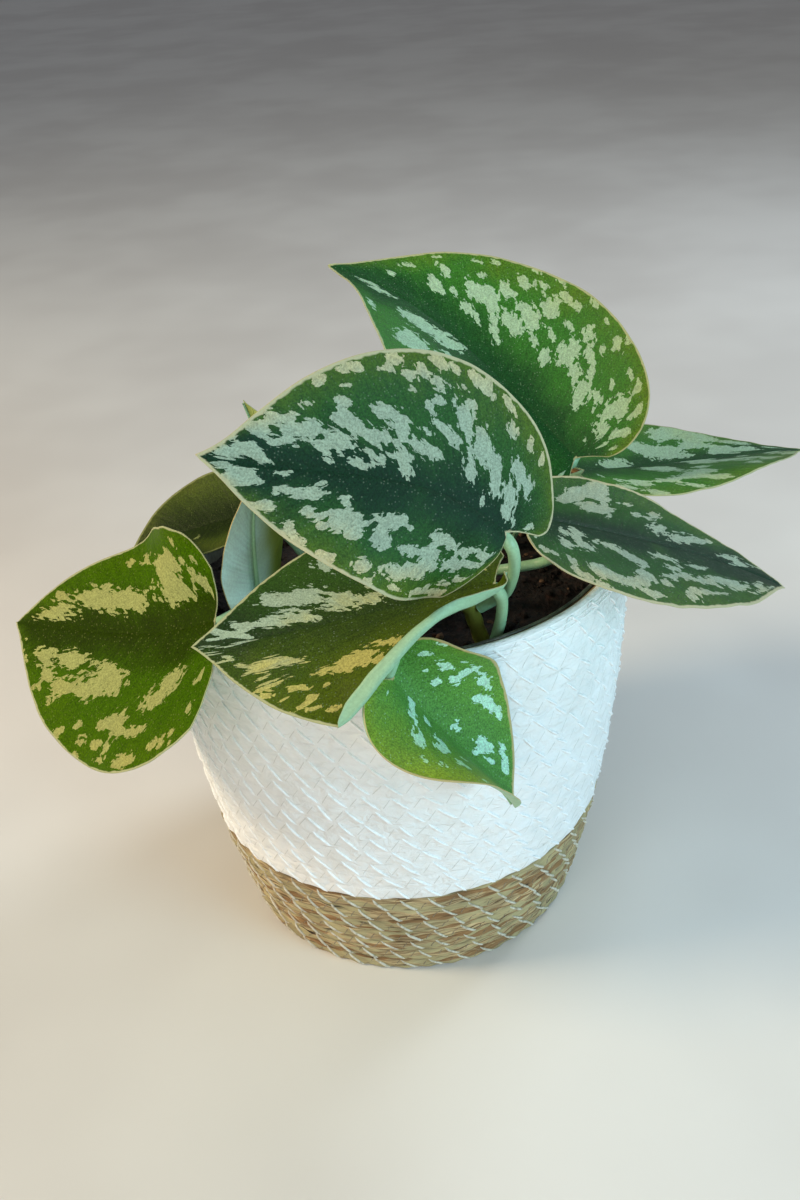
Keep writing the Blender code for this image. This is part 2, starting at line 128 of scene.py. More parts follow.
# Studio. Each light has a name, place, size, power in watts and colour
LIGHTS = (
    ("warm_window", (-0.85, -0.15, 0.75), 0.28, 8.5, (1.0, 0.82, 0.56)),
    ("cool_window", (0.7, 0.5, 0.8), 0.4, 5.0, (0.8, 0.9, 1.0)),
    ("cool_fill", (0.85, -0.7, 0.42), 0.6, 8.2, (0.46, 0.81, 1.0)),
    ("soft_front", (-0.4, -1.0, 0.6), 0.9, 4.5, (1.0, 0.95, 0.88)),
)
LIGHT_AIM = (0, -0.02, 0.12)
SKY_COLOUR = (0.9, 0.93, 1.0, 1.0)
SKY_STRENGTH = 0.22
FLOOR_HALF = 6.0

# Camera, solved from the rim, the paint line and the foot of the basket in the photo
CAMERA_PLACE = (0.0017, -0.3347, 0.3216)
CAMERA_RIGHT = (0.99756, -0.0373, -0.0590)
CAMERA_AHEAD = (0.0, 0.84526, -0.53435)
CAMERA_LENS = CAMERA_SENSOR = 36.0


def srgb(red, green, blue):
    """A colour from 0 to 255, as linear light."""
    share = np.array((red, green, blue)) / 255.0
    linear = np.where(share <= 0.04045, share / 12.92, ((share + 0.055) / 1.055) ** 2.4)
    return tuple(float(value) for value in linear)


def ease(t):
    """0 below 0, 1 above 1 and smooth between."""
    t = np.clip(t, 0.0, 1.0)
    return t * t * (3 - 2 * t)


def spline_through(points, steps):
    """A Catmull-Rom curve through the points, with the given samples between two of them."""
    p = np.asarray(points, dtype=float)
    ends = np.vstack([2 * p[0] - p[1], p, 2 * p[-1] - p[-2]])
    where = np.linspace(0, len(p) - 1, (len(p) - 1) * steps + 1)
    first = np.minimum(where.astype(int), len(p) - 2)
    t = (where - first)[:, None]
    a, b, c, d = ends[first], ends[first + 1], ends[first + 2], ends[first + 3]
    curve = 2 * b + (c - a) * t + (2 * a - 5 * b + 4 * c - d) * t ** 2
    return 0.5 * (curve + (3 * b - a - 3 * c + d) * t ** 3)


def waves(seed, x, y, size, count=6):
    """Smooth bumps of about the given size over a surface, between -1 and 1."""
    draw = np.random.default_rng(seed)
    total = np.zeros(np.broadcast(x, y).shape)
    for _ in range(count):
        turn, phase = draw.uniform(0, 2 * math.pi, 2)
        length = size * draw.uniform(0.7, 1.6)
        slant = x * math.cos(turn) + y * math.sin(turn)
        total = total + np.sin(slant * 2 * math.pi / length + phase)
    return total / count * 1.6


def run_of(points):
    """The length along a row of points, up to each of them."""
    return np.concatenate([[0], np.cumsum(np.linalg.norm(np.diff(points, axis=0), axis=1))])


def columns(values, count):
    """A table whose columns all hold the values."""
    return np.repeat(np.asarray(values)[:, None], count, axis=1)


def round_axis(radius, angle, z):
    """Points at those radii, angles and heights about the basket's axis."""
    return np.stack([radius * np.cos(angle), radius * np.sin(angle), z], axis=-1)


# Materials

class Shade:
    """A procedural material, built up node by node. place is the position on the object."""

    def __init__(self, name):
        self.material = bpy.data.materials.new(name)
        self.material.use_nodes = True
        self.tree = self.material.node_tree
        self.surface = self.tree.nodes["Principled BSDF"]
        self.place = self.node("ShaderNodeTexCoord").outputs["Object"]

    def node(self, kind, inputs=(), **settings):
        made = self.tree.nodes.new(kind)
        for key, value in settings.items():
            setattr(made, key, value)
        for key, value in dict(inputs).items():
            self.feed(made.inputs[key], value)
        return made

    def feed(self, socket, value):
        if isinstance(value, bpy.types.NodeSocket):
            self.tree.links.new(value, socket)
        elif isinstance(value, tuple) and len(value) == 3 and socket.type == "RGBA":
            socket.default_value = (*value, 1.0)
        else:
            socket.default_value = value

    def field(self, name, output="Fac"):
        """A number, or the Vector, that the mesh carries at its points."""
        return self.node("ShaderNodeAttribute", attribute_name=name).outputs[output]

    def vein_line(self):
        """0 along the side veins and 1 midway between two of them."""
        return self.maths("ABSOLUTE", self.maths("SINE", self.field("lateral")))

    def stretched(self, vector, sizes):
        """The vector in units of the sizes along x, y and z, or of one size for all three."""
        scale = tuple(1.0 / float(size) for size in np.broadcast_to(sizes, 3))
        return self.node("ShaderNodeMapping", {"Vector": vector, "Scale": scale}).outputs["Vector"]

    def noise(self, vector, sizes, detail=2.0, roughness=0.5, distortion=0.0):
        inputs = {"Vector": self.stretched(vector, sizes), "Scale": 1.0, "Detail": detail,
                  "Roughness": roughness, "Distortion": distortion}
        return self.node("ShaderNodeTexNoise", inputs).outputs["Fac"]

    def voronoi(self, vector, **settings):
        return self.node("ShaderNodeTexVoronoi", {"Vector": vector, "Scale": 1.0}, **settings)

    def cells(self, vector):
        """The distance to the middle of the nearest cell."""
        return self.voronoi(vector).outputs["Distance"]

    def chips(self, vector, distance="EUCLIDEAN"):
        """A random number from 0 to 1 for each cell of a crazed pattern."""
        colour = self.voronoi(vector, distance=distance).outputs["Color"]
        return self.node("ShaderNodeSeparateColor", {"Color": colour}).outputs["Red"]

    def warped(self, vector, amount):
        """The vector, pushed about by half the amount or less."""
        inputs = {"Vector": vector, "Scale": 1.0, "Detail": 1.0}
        push = self.node("ShaderNodeTexNoise", inputs).outputs["Color"]
        inputs = {0: push, 1: (amount,) * 3, 2: vector}
        return self.node("ShaderNodeVectorMath", inputs, operation="MULTIPLY_ADD").outputs["Vector"]

    def maths(self, operation, a, b=0.0):
        return self.node("ShaderNodeMath", {0: a, 1: b}, operation=operation).outputs["Value"]

    def sum_of(self, *terms):
        """Adds sockets, each given with its factor."""
        total = None
        for socket, factor in terms:
            part = self.maths("MULTIPLY", socket, factor)
            total = part if total is None else self.maths("ADD", total, part)
        return total

    def step(self, value, low, high):
        """0 below low, 1 above high and smooth between; reversed if low is above high."""
        inputs = {"Value": value, "From Min": low, "From Max": high}
        made = self.node("ShaderNodeMapRange", inputs, interpolation_type="SMOOTHSTEP")
        return made.outputs["Result"]

    def mix(self, factor, a, b):
        return self.node("ShaderNodeMix", {0: factor, 6: a, 7: b}, data_type="RGBA").outputs[2]

    def blend(self, value, low, high, a, b):
        """Colour a where the value is below low, and b where it is above high."""
        return self.mix(self.step(value, low, high), srgb(*a), srgb(*b))

    def over(self, base, value, low, high, colour, amount=1.0):
        """The base, with that amount of a colour where the value passes from low to high."""
        share = self.step(value, low, high)
        if amount != 1.0:
            share = self.maths("MULTIPLY", share, amount)
        return self.mix(share, base, srgb(*colour))

    def shaded(self, colour, least, *terms):
        """The colour, times the least value and the terms."""
        inputs = {0: colour, "Scale": self.maths("ADD", self.sum_of(*terms), least)}
        return self.node("ShaderNodeVectorMath", inputs, operation="SCALE").outputs["Vector"]

    def bump(self, height, distance, strength=1.0):
        inputs = {"Height": height, "Distance": distance * MM, "Strength": strength}
        return self.node("ShaderNodeBump", inputs).outputs["Normal"]

    def finish(self, colour, roughness, specular, normal=None, **others):
        """Feeds the surface, and gives the material."""
        inputs = {"Base Color": colour, "Roughness": roughness, "Specular IOR Level": specular}
        if normal:
            inputs["Normal"] = normal
        for key, value in {**inputs, **others}.items():
            self.feed(self.surface.inputs[key], value)
        return self.material


def leaf_top(name, centre, green, olive, silver=(154, 171, 147), gold=(170, 166, 118),
             rim=(170, 174, 130), rim_width=0.9, glow=0.0, shine=0.12):
    """The satin face: green, with grainy silver patches where the field "silver" is high.

    The field "warm" turns the green to olive and the silver to gold.
    """
    s = Shade(name)
    vein = s.field("vein", "Vector")
    broad = s.noise(s.place, 0.013, 3)
    streak = s.noise(vein, (12, 1.3, 1), 3, 0.6)
    grain = s.step(s.noise(s.place, 0.0005, 2, 0.7), 0.3, 0.7)
    dust = s.stretched(s.place, 0.0008)

    tint = s.sum_of((s.field("warm"), 1.0), (broad, 0.7), (streak, 0.25))
    from_rib = s.sum_of((s.field("rib"), 0.055), (broad, 1.1), (streak, 0.35))
    body = s.blend(from_rib, 0.8, 1.7, centre, green)
    body = s.over(body, tint, 0.5, 1.35, olive)
    body = s.shaded(body, 0.4, (grain, 0.7), (streak, 0.5))
    spark = s.maths("MULTIPLY", s.step(s.cells(dust), 0.34, 0.12), s.step(s.chips(dust), 0.4, 0.9))
    body = s.mix(s.maths("MULTIPLY", spark, 0.3), body, srgb(*silver))

    blocks = s.chips(s.warped(s.stretched(vein, (1.7, 1.5, 1)), 0.4), "CHEBYCHEV")
    bits = s.chips(s.warped(s.stretched(vein, (0.9, 0.8, 1)), 0.4), "CHEBYCHEV")
    rag = s.noise(vein, (3.2, 2.4, 1), 1)
    patch = s.sum_of((s.field("silver"), 1.0), (blocks, 0.62), (bits, 0.14), (rag, 0.14),
                     (grain, 0.02))
    mask = s.step(patch, *PATCH_RIM)
    metal = s.blend(tint, 0.5, 1.1, silver, gold)
    metal = s.shaded(metal, 0.47, (grain, 0.5), (streak, 0.4), (bits, 0.16))
    colour = s.mix(mask, body, metal)
    edge = s.sum_of((s.field("rim"), 1.0 / rim_width), (rag, 0.9))
    colour = s.over(colour, edge, 1.3, 0.9, rim)

    rough = s.maths("ADD", s.sum_of((mask, 0.06), (grain, 0.16)), 0.4)
    height = s.sum_of((grain, 1.0), (s.step(s.vein_line(), 0.3, 0.0), -0.6), (streak, 0.5),
                      (mask, 0.5))
    glowing = {"Subsurface Weight": glow, "Subsurface Radius": GLOW_REACH, "Subsurface Scale": 0.5}
    return s.finish(colour, rough, shine, s.bump(height, 0.08, 0.8), **(glowing if glow else {}))


def leaf_under(name, pale, vein_tint, far, veins=0.4):
    """The matt, pale underside with its raised veins. It turns to the far tint where "warm"."""
    s = Shade(name)
    streak = s.noise(s.field("vein", "Vector"), (14, 1.2, 1), 3, 0.6)
    grain = s.noise(s.place, 0.0008, 2, 0.6)
    broad = s.noise(s.place, 0.02)
    tint = s.sum_of((s.field("warm"), 1.0), (broad, 0.7), (streak, 0.2))
    line = s.vein_line()
    body = s.blend(tint, 0.4, 1.3, pale, far)
    body = s.over(body, line, 0.22, 0.0, vein_tint, veins)
    body = s.over(body, s.field("rib"), 1.6, 0.5, vein_tint, 0.6)
    body = s.shaded(body, 0.55, (grain, 0.4), (streak, 0.5))
    height = s.sum_of((grain, 0.5), (s.step(line, 0.3, 0.0), 1.4), (streak, 0.5))
    return s.finish(body, 0.55, 0.3, s.bump(height, 0.08, 0.8))


def stalk_skin(name, young, old, age):
    """A smooth stem, streaked along its length, with small pale dots."""
    s = Shade(name)
    vein = s.field("vein", "Vector")
    streak = s.noise(vein, (18, 0.9, 1), 3, 0.6)
    broad = s.noise(vein, (9, 6, 1))
    dots = s.cells(s.stretched(vein, (1.6, 1.1, 1)))
    fine = s.noise(s.place, 0.0007)
    body = s.blend(s.sum_of((streak, 0.6), (broad, 0.6)), 0.75 - age, 1.05 - age, young, old)
    pale = tuple(1.5 * value for value in srgb(*young))
    body = s.mix(s.maths("MULTIPLY", s.step(dots, 0.16, 0.05), 0.5), body, pale)
    body = s.shaded(body, 0.8, (fine, 0.4))
    height = s.sum_of((streak, 1.0), (fine, 0.4))
    return s.finish(body, 0.38, 0.5, s.bump(height, 0.12, 0.7))


def seagrass(name, painted):
    """Coiled seagrass. Above the paint line it is brushed white. The hollows between the rows are
    darkened as painted shade, and on the paint this is mixed with random specks.
    """
    s = Shade(name)
    weave, hollow = s.field("weave", "Vector"), s.field("hollow")
    fibre = s.noise(weave, (14, 0.7, 1), 4, 0.6)
    strand = s.noise(weave, (12, 2.5, 1), 2, 0.5, 0.5)
    blotch = s.noise(s.place, 0.012)
    twigs = s.chips(s.warped(s.stretched(weave, (14, 2.0, 1)), 0.9))
    bare = s.blend(fibre, 0.34, 0.64, (108, 82, 50), (200, 176, 132))
    bare = s.over(bare, twigs, 0.5, 0.65, (172, 160, 118), 0.8)
    bare = s.over(bare, twigs, 0.3, 0.2, (136, 98, 58), 0.8)
    bare = s.over(bare, s.sum_of((strand, 0.7), (fibre, 0.5)), 0.52, 0.38, (44, 32, 20))
    bare = s.shaded(bare, 0.55, (blotch, 0.9))
    # painted shade: the bare seagrass darkens in the hollows between the rows
    bare = s.over(bare, hollow, 0.35, 1.0, (38, 28, 18), 0.6)
    height = s.sum_of((fibre, 1.0), (strand, 1.2))
    if not painted:
        return s.finish(bare, 0.8, 0.35, s.bump(height, 0.5, 0.8))

    crease = s.noise(weave, (4.2, 2.6, 1), 3, 0.55, 1.1)
    speck = s.noise(s.place, 0.0016, 2, 0.6)
    white = s.blend(blotch, 0.35, 0.7, (241, 240, 238), (234, 233, 230))
    # painted shade in the hollows, mixed with random grey specks and blotches; the dark brown
    # specks where a hollow and a speck meet are painted shade too
    specks_and_painted_shade = s.sum_of((hollow, 0.75), (speck, 0.55), (blotch, 0.3))
    white = s.over(white, specks_and_painted_shade, 0.7, 1.3, (176, 168, 154), 0.6)
    white = s.over(white, s.sum_of((hollow, 0.7), (speck, 1.6)), 1.58, 1.7, (96, 80, 60))
    up = s.node("ShaderNodeSeparateXYZ", {"Vector": s.place}).outputs["Z"]
    ragged = s.sum_of((up, 1.0 / MM), (strand, 2.6), (fibre, 1.2))
    edge = PAINT_LINE + 1.9
    paint = s.step(ragged, edge - 0.35, edge + 0.35)
    rough = s.maths("SUBTRACT", 0.8, s.maths("MULTIPLY", paint, 0.28))
    bare_height = s.maths("MULTIPLY", height, s.maths("SUBTRACT", 1.0, paint))
    coat = s.maths("MULTIPLY", s.sum_of((crease, 2.8), (fibre, 0.3), (speck, 0.15)), paint)
    normal = s.bump(s.maths("ADD", bare_height, coat), 0.5, 0.75)
    return s.finish(s.mix(paint, bare, white), rough, 0.35, normal)


def stitch_skin(name, light, dark, sunk_shade):
    """The stitching cord, painted over with the wall or bare at the foot.

    The field "sunk" is 1 on the legs that lie deep between the cells of the braid. Those legs are
    darkened with painted shade.
    """
    s = Shade(name)
    fibre = s.noise(s.field("weave", "Vector"), (3.0, 0.35, 1), 3, 0.6)
    speck = s.noise(s.place, 0.0014, 2, 0.6)
    body = s.blend(s.sum_of((fibre, 0.6), (speck, 0.6)), 0.68, 0.4, light, dark)
    # painted shade: the sunk legs turn darker
    body = s.mix(s.maths("MULTIPLY", s.field("sunk"), 0.8), body, srgb(*sunk_shade))
    height = s.sum_of((fibre, 1.0), (speck, 0.4))
    return s.finish(body, 0.5, 0.4, s.bump(height, 0.15, 0.7))


def film(name):
    """Thin green-grey plastic film, slightly crinkled."""
    s = Shade(name)
    crinkle = s.noise(s.place, (0.006, 0.006, 0.011), 4, 0.6, 0.7)
    dust = s.noise(s.place, 0.0012, 2, 0.6)
    body = s.blend(crinkle, 0.4, 0.65, (66, 70, 60), (102, 104, 90))
    body = s.over(body, dust, 0.55, 0.75, (120, 112, 94), 0.5)
    return s.finish(body, 0.32, 0.5, s.bump(crinkle, 0.7, 0.6), **{"Coat Weight": 0.15})


def peat(name, roughness):
    """Near-black potting mix with rusty and pale crumbs."""
    s = Shade(name)
    crumb = s.noise(s.place, 0.0016, 4, 0.65)
    patch = s.noise(s.place, 0.005)
    cell = s.cells(s.stretched(s.place, 0.0018))
    body = s.blend(crumb, 0.4, 0.68, (14, 11, 10), (44, 32, 26))
    body = s.over(body, patch, 0.55, 0.7, (60, 34, 24), 0.6)
    body = s.over(body, s.field("tone"), 0.8, 0.95, (120, 92, 70), 0.7)
    body = s.shaded(body, 0.6, (cell, 0.7))
    height = s.sum_of((crumb, 1.3), (cell, 0.8))
    return s.finish(body, roughness, 0.3, s.bump(height, 0.8, 0.9))


# Pieces

def add_piece(name, points, faces, materials, node=None, slot=None, face_materials=None, **fields):
    """A mesh piece from points in mm. It rides on the root and may stand for a CAD node.

    Points that no face uses are left out.
    """
    used = np.unique(np.concatenate([np.array(face) for face in faces]))
    renumber = np.full(len(points), -1)
    renumber[used] = np.arange(len(used))
    mesh = bpy.data.meshes.new(name)
    mesh.from_pydata((points[used] * MM).tolist(), [], [renumber[face].tolist() for face in faces])
    for material in materials:
        mesh.materials.append(material)
    if face_materials is not None:
        mesh.polygons.foreach_set("material_index", np.asarray(face_materials, dtype=np.int32))
    for key, values in fields.items():
        values = np.asarray(values, dtype=np.float32)[used]
        kind, member = ("FLOAT", "value") if values.ndim == 1 else ("FLOAT_VECTOR", "vector")
        mesh.attributes.new(key, kind, "POINT").data.foreach_set(member, values.ravel())
    mesh.shade_smooth()
    piece = bpy.data.objects.new(name, mesh)
    bpy.context.scene.collection.objects.link(piece)
    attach(piece, "root")
    if node:
        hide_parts(node)


def grid_faces(index, flip=False):
    """Faces between neighbouring rows of point numbers. Repeated corners leave a triangle."""
    faces = []
    rows = index.tolist()
    for near, far in zip(rows, rows[1:]):
        for j in range(len(near) - 1):
            corners = [near[j], near[j + 1], far[j + 1], far[j]]
            if flip:
                corners.reverse()
            kept = [c for k, c in enumerate(corners) if c != corners[k - 1]]
            if len(kept) > 2:
                faces.append(kept)
    return faces


def moved(faces, shift):
    """The faces, with every point number raised by the shift."""
    return [[corner + shift for corner in face] for face in faces]


def rings_along(path, radii, sides):
    """Rings of points round a path."""
    tangent = np.gradient(path, axis=0)
    tangent /= np.linalg.norm(tangent, axis=1)[:, None]
    turn = np.linspace(0, 2 * math.pi, sides, endpoint=False)[:, None]
    side = np.cross(tangent[0], (0.3, 1.0, 0.2))
    rings = []
    for point, ahead, radius in zip(path, tangent, radii):
        side = side - ahead * (side @ ahead)
        side = side / np.linalg.norm(side)
        over = np.cross(ahead, side)
        rings.append(point + radius * (np.cos(turn) * side + np.sin(turn) * over))
    return np.array(rings)


def tube_mesh(path, radii, sides):
    """Points, faces and (along, round, 0) fields of a closed stem."""
    radii = np.asarray(radii)
    rings = rings_along(path, radii, sides)
    index = np.arange(len(rings) * sides).reshape(len(rings), sides)
    faces = grid_faces(np.hstack([index, index[:, :1]]))
    faces += [index[0].tolist(), index[-1].tolist()[::-1]]
    around = np.abs(np.linspace(-1, 1, sides, endpoint=False)) * radii[:, None] * 3
    along = columns(run_of(path), sides)
    field = np.stack([along, around, 0 * along], axis=-1).reshape(-1, 3)
    return rings.reshape(-1, 3), faces, field


# Leaves

class Leaf:
    """One leaf: a blade on a midrib that bends, rolls and cups.

    The values mean what they mean in the part's source. Pairs are for the left and the right
    half, and those of heading, pitch and roll for the notch and the tip.
    """

    arch = 0.0
    fold = 5.0
    cup = curl = lift = (0.0, 0.0)
    lobe = (1.0, 1.0)
    notch = (NOTCH, NOTCH)
    hem = ()             # rows of a share across, and the roll's middle and end, out and up
    ripple = 0.5         # height of the small waves along the margin
    turned = (0.0, 0.0)  # how far the last strip of each margin turns up
    trim = (0.0, 0.0)    # a line of the right half, and by what share those near it are cut
    warm = ((0.0, 0.4), (0.0, 0.4))      # olive share of each half at the midrib and the margin
    warm_tip = 0.0       # what the tip has more of it than the notch
    lines = 170
    per_line = 44

    def __init__(self, **values):
        vars(self).update(values)
        self.line = np.linspace(0, 1, self.lines)
        even = np.linspace(0, 1, self.per_line - 3)
        extra = (0.35 * even[1], 0.7 * even[1], 1 - 0.4 * (1 - even[-2]))
        self.across = np.sort(np.concatenate([even, extra]))
        self.lay_midrib()

    def lay_midrib(self):
        """Lays the midrib with its side and up directions, from before the notch to the tip."""
        g = np.linspace(-0.4, 1.0, 281)
        tracks = (self.heading, self.pitch, self.roll)
        heading, pitch, roll = (start + (end - start) * g for start, end in tracks)
        heading, roll = np.radians(heading), np.radians(roll)[:, None]
        pitch = np.radians(pitch + self.arch * 4 * g * (1 - g) * (g > 0))
        along = np.stack([np.cos(pitch) * np.cos(heading), np.cos(pitch) * np.sin(heading),
                          np.sin(pitch)], axis=-1)
        step = (g[1] - g[0]) * self.length
        line = np.vstack([np.zeros(3), np.cumsum((along[1:] + along[:-1]) / 2 * step, axis=0)])
        flat_side = np.stack([np.sin(heading), -np.cos(heading), 0 * heading], axis=-1)
        flat_up = np.cross(flat_side, along)
        self.share = g
        self.spine = line - line[int(np.argmin(np.abs(g)))] + np.array(self.base, dtype=float)
        self.side = flat_side * np.cos(roll) + flat_up * np.sin(roll)
        self.up = flat_up * np.cos(roll) - flat_side * np.sin(roll)

    def read(self, track, share):
        """A track of the midrib at some shares of the length."""
        return np.stack([np.interp(share, self.share, track[:, k]) for k in range(3)], axis=-1)

    def half(self, side):
        """Points of the right (+1) or left (-1) half, with their fields, by line and share."""
        hand = int(side > 0)
        margin = spline_through(MARGIN, 16)
        line, across = self.line, self.across[None, :]
        count = across.shape[1]
        place = (self.notch[hand] + (1 - self.notch[hand]) * line) * (len(margin) - 1)
        end, out = (np.interp(place, np.arange(len(margin)), track)[:, None] for track in margin.T)
        end = np.where(end < 0, end * self.lobe[hand], end)
        root = (np.clip((line - FAN_SHARE) / (1 - FAN_SHARE), 0, None) ** 1.3)[:, None]
        trim = 1 - hand * self.trim[1] * np.exp(-((line - self.trim[0]) / 0.06) ** 2)
        r = across * trim[:, None]
        share = root + (end - root) * r ** VEIN_SWEEP
        reach = out * r
        lateral, height = self.cross_section(share, reach, hand)
        width = self.half_widths[hand]
        from_rib = np.hypot(reach * width, np.clip(-share, 0, None) * self.length)
        groove = -GROOVE_DEPTH * np.exp(-(from_rib / 0.9) ** 2)
        spot = (share * self.length, reach * width * side)
        wave = waves(self.seed + hand, *spot, 24.0) * r ** 2
        wave = wave + 0.35 * waves(self.seed + 7 + hand, *spot, 9.0) * r
        rise = height * width + groove + self.ripple * wave
        rise = rise + self.turned[hand] * ease((r - 0.93) / 0.07) * ease((1 - line) / 0.1)[:, None]
        points = self.read(self.spine, share) + self.read(self.up, share) * rise[..., None]
        points = points + self.read(self.side, share) * (lateral * width * side)[..., None]
        number = columns(line, count)
        if self.hem and side < 0:
            rolled = self.rolled_lobe(points)
            points = np.concatenate([rolled, points])
            number = np.concatenate([np.zeros(rolled.shape[:2]), number])
            from_rib = np.concatenate([np.repeat(from_rib[:1], len(rolled), axis=0), from_rib])
        length = np.linalg.norm(points[:, -1] - points[:, 0], axis=1)[:, None]
        rim = np.minimum((1 - across) * length, np.linalg.norm(points - points[:1], axis=-1))
        along = across * length
        over = columns(run_of(points[:, int(0.7 * count)]), count)
        apart = np.full(along.shape, 40.0 * side + 3.0 * self.seed)
        cross = np.repeat(across, len(points), axis=0)
        inner, outer = self.warm[hand]
        warm = inner + (outer - inner) * cross ** 2 + self.warm_tip * (number - 0.5)
        return {"points": points, "number": number, "cross": cross, "rib": from_rib, "rim": rim,
                "vein": np.stack([along, over, apart], axis=-1), "warm": warm}

    def rolled_lobe(self, points):
        """Extra lines before the first one, which turn up and over like a hem."""
        along = points[0, -1] - points[0, 0]
        along = along / np.linalg.norm(along)
        outward = points[0] - points[13]
        outward[0] = outward[1]
        outward = outward - along * (outward @ along)[:, None]
        outward = outward / np.linalg.norm(outward, axis=1)[:, None]
        up = np.cross(along, outward)
        where, *table = np.array(self.hem).T
        out_half, up_half, out_end, up_end = (
            np.interp(self.across, where, track)[:, None] for track in table)
        lines = []
        for t in reversed(HEM_STEPS):
            half, end = 4 * t * (1 - t), t * (2 * t - 1)
            move = outward * (out_half * half + out_end * end)
            lines.append(points[0] + (move + up * (up_half * half + up_end * end)))
        return np.array(lines)

    def cross_section(self, share, reach, hand):
        """Sideways and upward offset across the half, as shares of the half width."""
        fade = ease(1 - share / LIFT_REACH)
        lateral = np.zeros_like(reach)
        height = np.zeros_like(reach)
        steps = 24
        for k in range(steps):
            h = reach * ((k + 0.5) / steps)
            angle = self.fold * ease(h / 0.15) + self.lift[hand] * fade * ease(h / 0.35)
            angle = angle + self.cup[hand] * h + self.curl[hand] * np.clip((h - 0.6) / 0.4, 0, None)
            lateral = lateral + np.cos(np.radians(angle)) * reach / steps
            height = height + np.sin(np.radians(angle)) * reach / steps
        return lateral, height

    def under_midrib(self, share, radius):
        """A point under the blade where a rib of that radius is half sunk in it."""
        point, up = (self.read(track, np.array([share]))[0] for track in (self.spine, self.up))
        return point - up * (1.15 + 0.5 * radius - 0.25 * share)


def silver_field(number, cross, marks):
    """How deep inside a patch a point is: 0 outside, 0.5 at the rim of a patch, more inside.

    Patches that nearly touch run together.
    """
    field = np.zeros(number.shape)
    for line, r, half_line, half_r in marks:
        away = ((number - line) / half_line) ** 2 + ((cross - r) / half_r) ** 2
        field = field + 0.5 ** away
    return np.clip(field, 0, 1)


def flecks(seed, count, lines=(0.2, 0.9), across=(0.3, 0.96), size=(0.006, 0.03)):
    """Small seeded patches scattered over a half."""
    draw = np.random.default_rng(seed)
    return [(draw.uniform(*lines), draw.uniform(*across), size[0] * draw.uniform(0.7, 1.8),
             size[1] * draw.uniform(0.6, 1.9)) for _ in range(count)]


def near_tip(seed):
    """Long patches that crowd at the tip."""
    return flecks(seed, 9, (0.84, 0.97), (0.15, 0.9), (0.008, 0.1))


def grown(marks, share):
    """The same patches, larger by a share of their sizes."""
    return [(line, r, half_line * (1 + share), half_r * (1 + share))
            for line, r, half_line, half_r in marks]


def stalk_mesh(leaf, route, radius):
    """The stalk, and the midrib half sunk under the blade, as one stem."""
    shares = MIDRIB_REACH * np.arange(1, RIB_STEPS + 1) / RIB_STEPS
    taper = radius * 0.8 + (RIB_END - radius * 0.8) * (shares / MIDRIB_REACH) ** 0.8
    rib = [leaf.under_midrib(share, r) for share, r in zip(shares, taper)]
    stalk = spline_through(list(route) + [leaf.under_midrib(0.0, radius)], 10)
    swell = radius * (1 + 0.12 * np.exp(-((np.arange(len(stalk)) - len(stalk) + 6) / 5.0) ** 2))
    return tube_mesh(np.vstack([stalk, rib]), [*swell, *taper], 14)


def normals_of(points, faces):
    """The smooth normal at each point of an open sheet."""
    sheet = bpy.data.meshes.new("sheet")
    sheet.from_pydata(points.tolist(), [], faces)
    normals = np.empty(len(points) * 3, dtype=np.float32)
    sheet.vertex_normals.foreach_get("vector", normals)
    bpy.data.meshes.remove(sheet)
    return normals.reshape(-1, 3)


def make_leaf(name, slot, leaf, route, radius, skins, marks=((), ()), veins=11):
    """A blade with its stalk, in one mesh. marks are the patches of the left and right half."""
    points, faces, halves = [], [], []
    start = 0
    spine = None
    for side in (1, -1):
        half = leaf.half(side)
        grid, number, cross = (half.pop(key) for key in ("points", "number", "cross"))
        index = np.arange(number.size).reshape(number.shape) + start
        start += index.size
        if spine is None:
            spine = index[:, 0].copy()
            spine[leaf.line <= FAN_SHARE] = spine[0]
        index[len(grid) - len(leaf.line):, 0] = spine
        index[-1, :] = spine[-1]
        faces += grid_faces(index, flip=side < 0)
        points.append(grid.reshape(-1, 3))
        half["silver"] = silver_field(number, cross, marks[side > 0])
        half["lateral"] = number * veins * math.pi
        halves.append({key: f.reshape(-1, *f.shape[2:]) for key, f in half.items()})
    points = np.concatenate(points)
    fields = {key: np.concatenate([half[key] for half in halves]) for key in halves[0]}

    thin = ease(fields["rim"] / MARGIN_REACH)
    depth = MARGIN_THICKNESS + (BLADE_THICKNESS - MARGIN_THICKNESS) * thin
    below = points - normals_of(points, faces) * depth[:, None]
    shift = len(points)
    edges = {(f[k - 1], f[k]) for f in faces for k in range(len(f))}
    rim = sorted([b, a, a + shift, b + shift] for a, b in edges if (b, a) not in edges)
    under = moved([face[::-1] for face in faces], shift)

    tube, tube_faces, tube_field = stalk_mesh(leaf, route, radius)
    none = np.zeros(len(tube))
    of_tube = {"vein": tube_field, "rim": none + FAR_IN, "rib": none + FAR_IN}
    fields = {key: np.concatenate([f, f, of_tube.get(key, none)]) for key, f in fields.items()}
    materials = [0] * len(faces) + [1] * len(under) + [0] * len(rim) + [2] * len(tube_faces)
    add_piece(name + "_blade", np.vstack([points, below, tube]),
              faces + under + rim + moved(tube_faces, 2 * shift), skins, node=name, slot=slot,
              face_materials=materials, **fields)


def soil_level(x, y):
    """Height of the soil: a low mound with clods."""
    mound = SOIL_MOUND * np.exp(-(np.hypot(x, y) / MOUND_SPREAD) ** 2)
    clods = np.sin(x * 0.31 + 1.3) * np.cos(y * 0.27 - 0.4) + 0.6 * np.sin(x * 0.17 - y * 0.53)
    return SOIL_EDGE + mound + SOIL_CLOD * clods


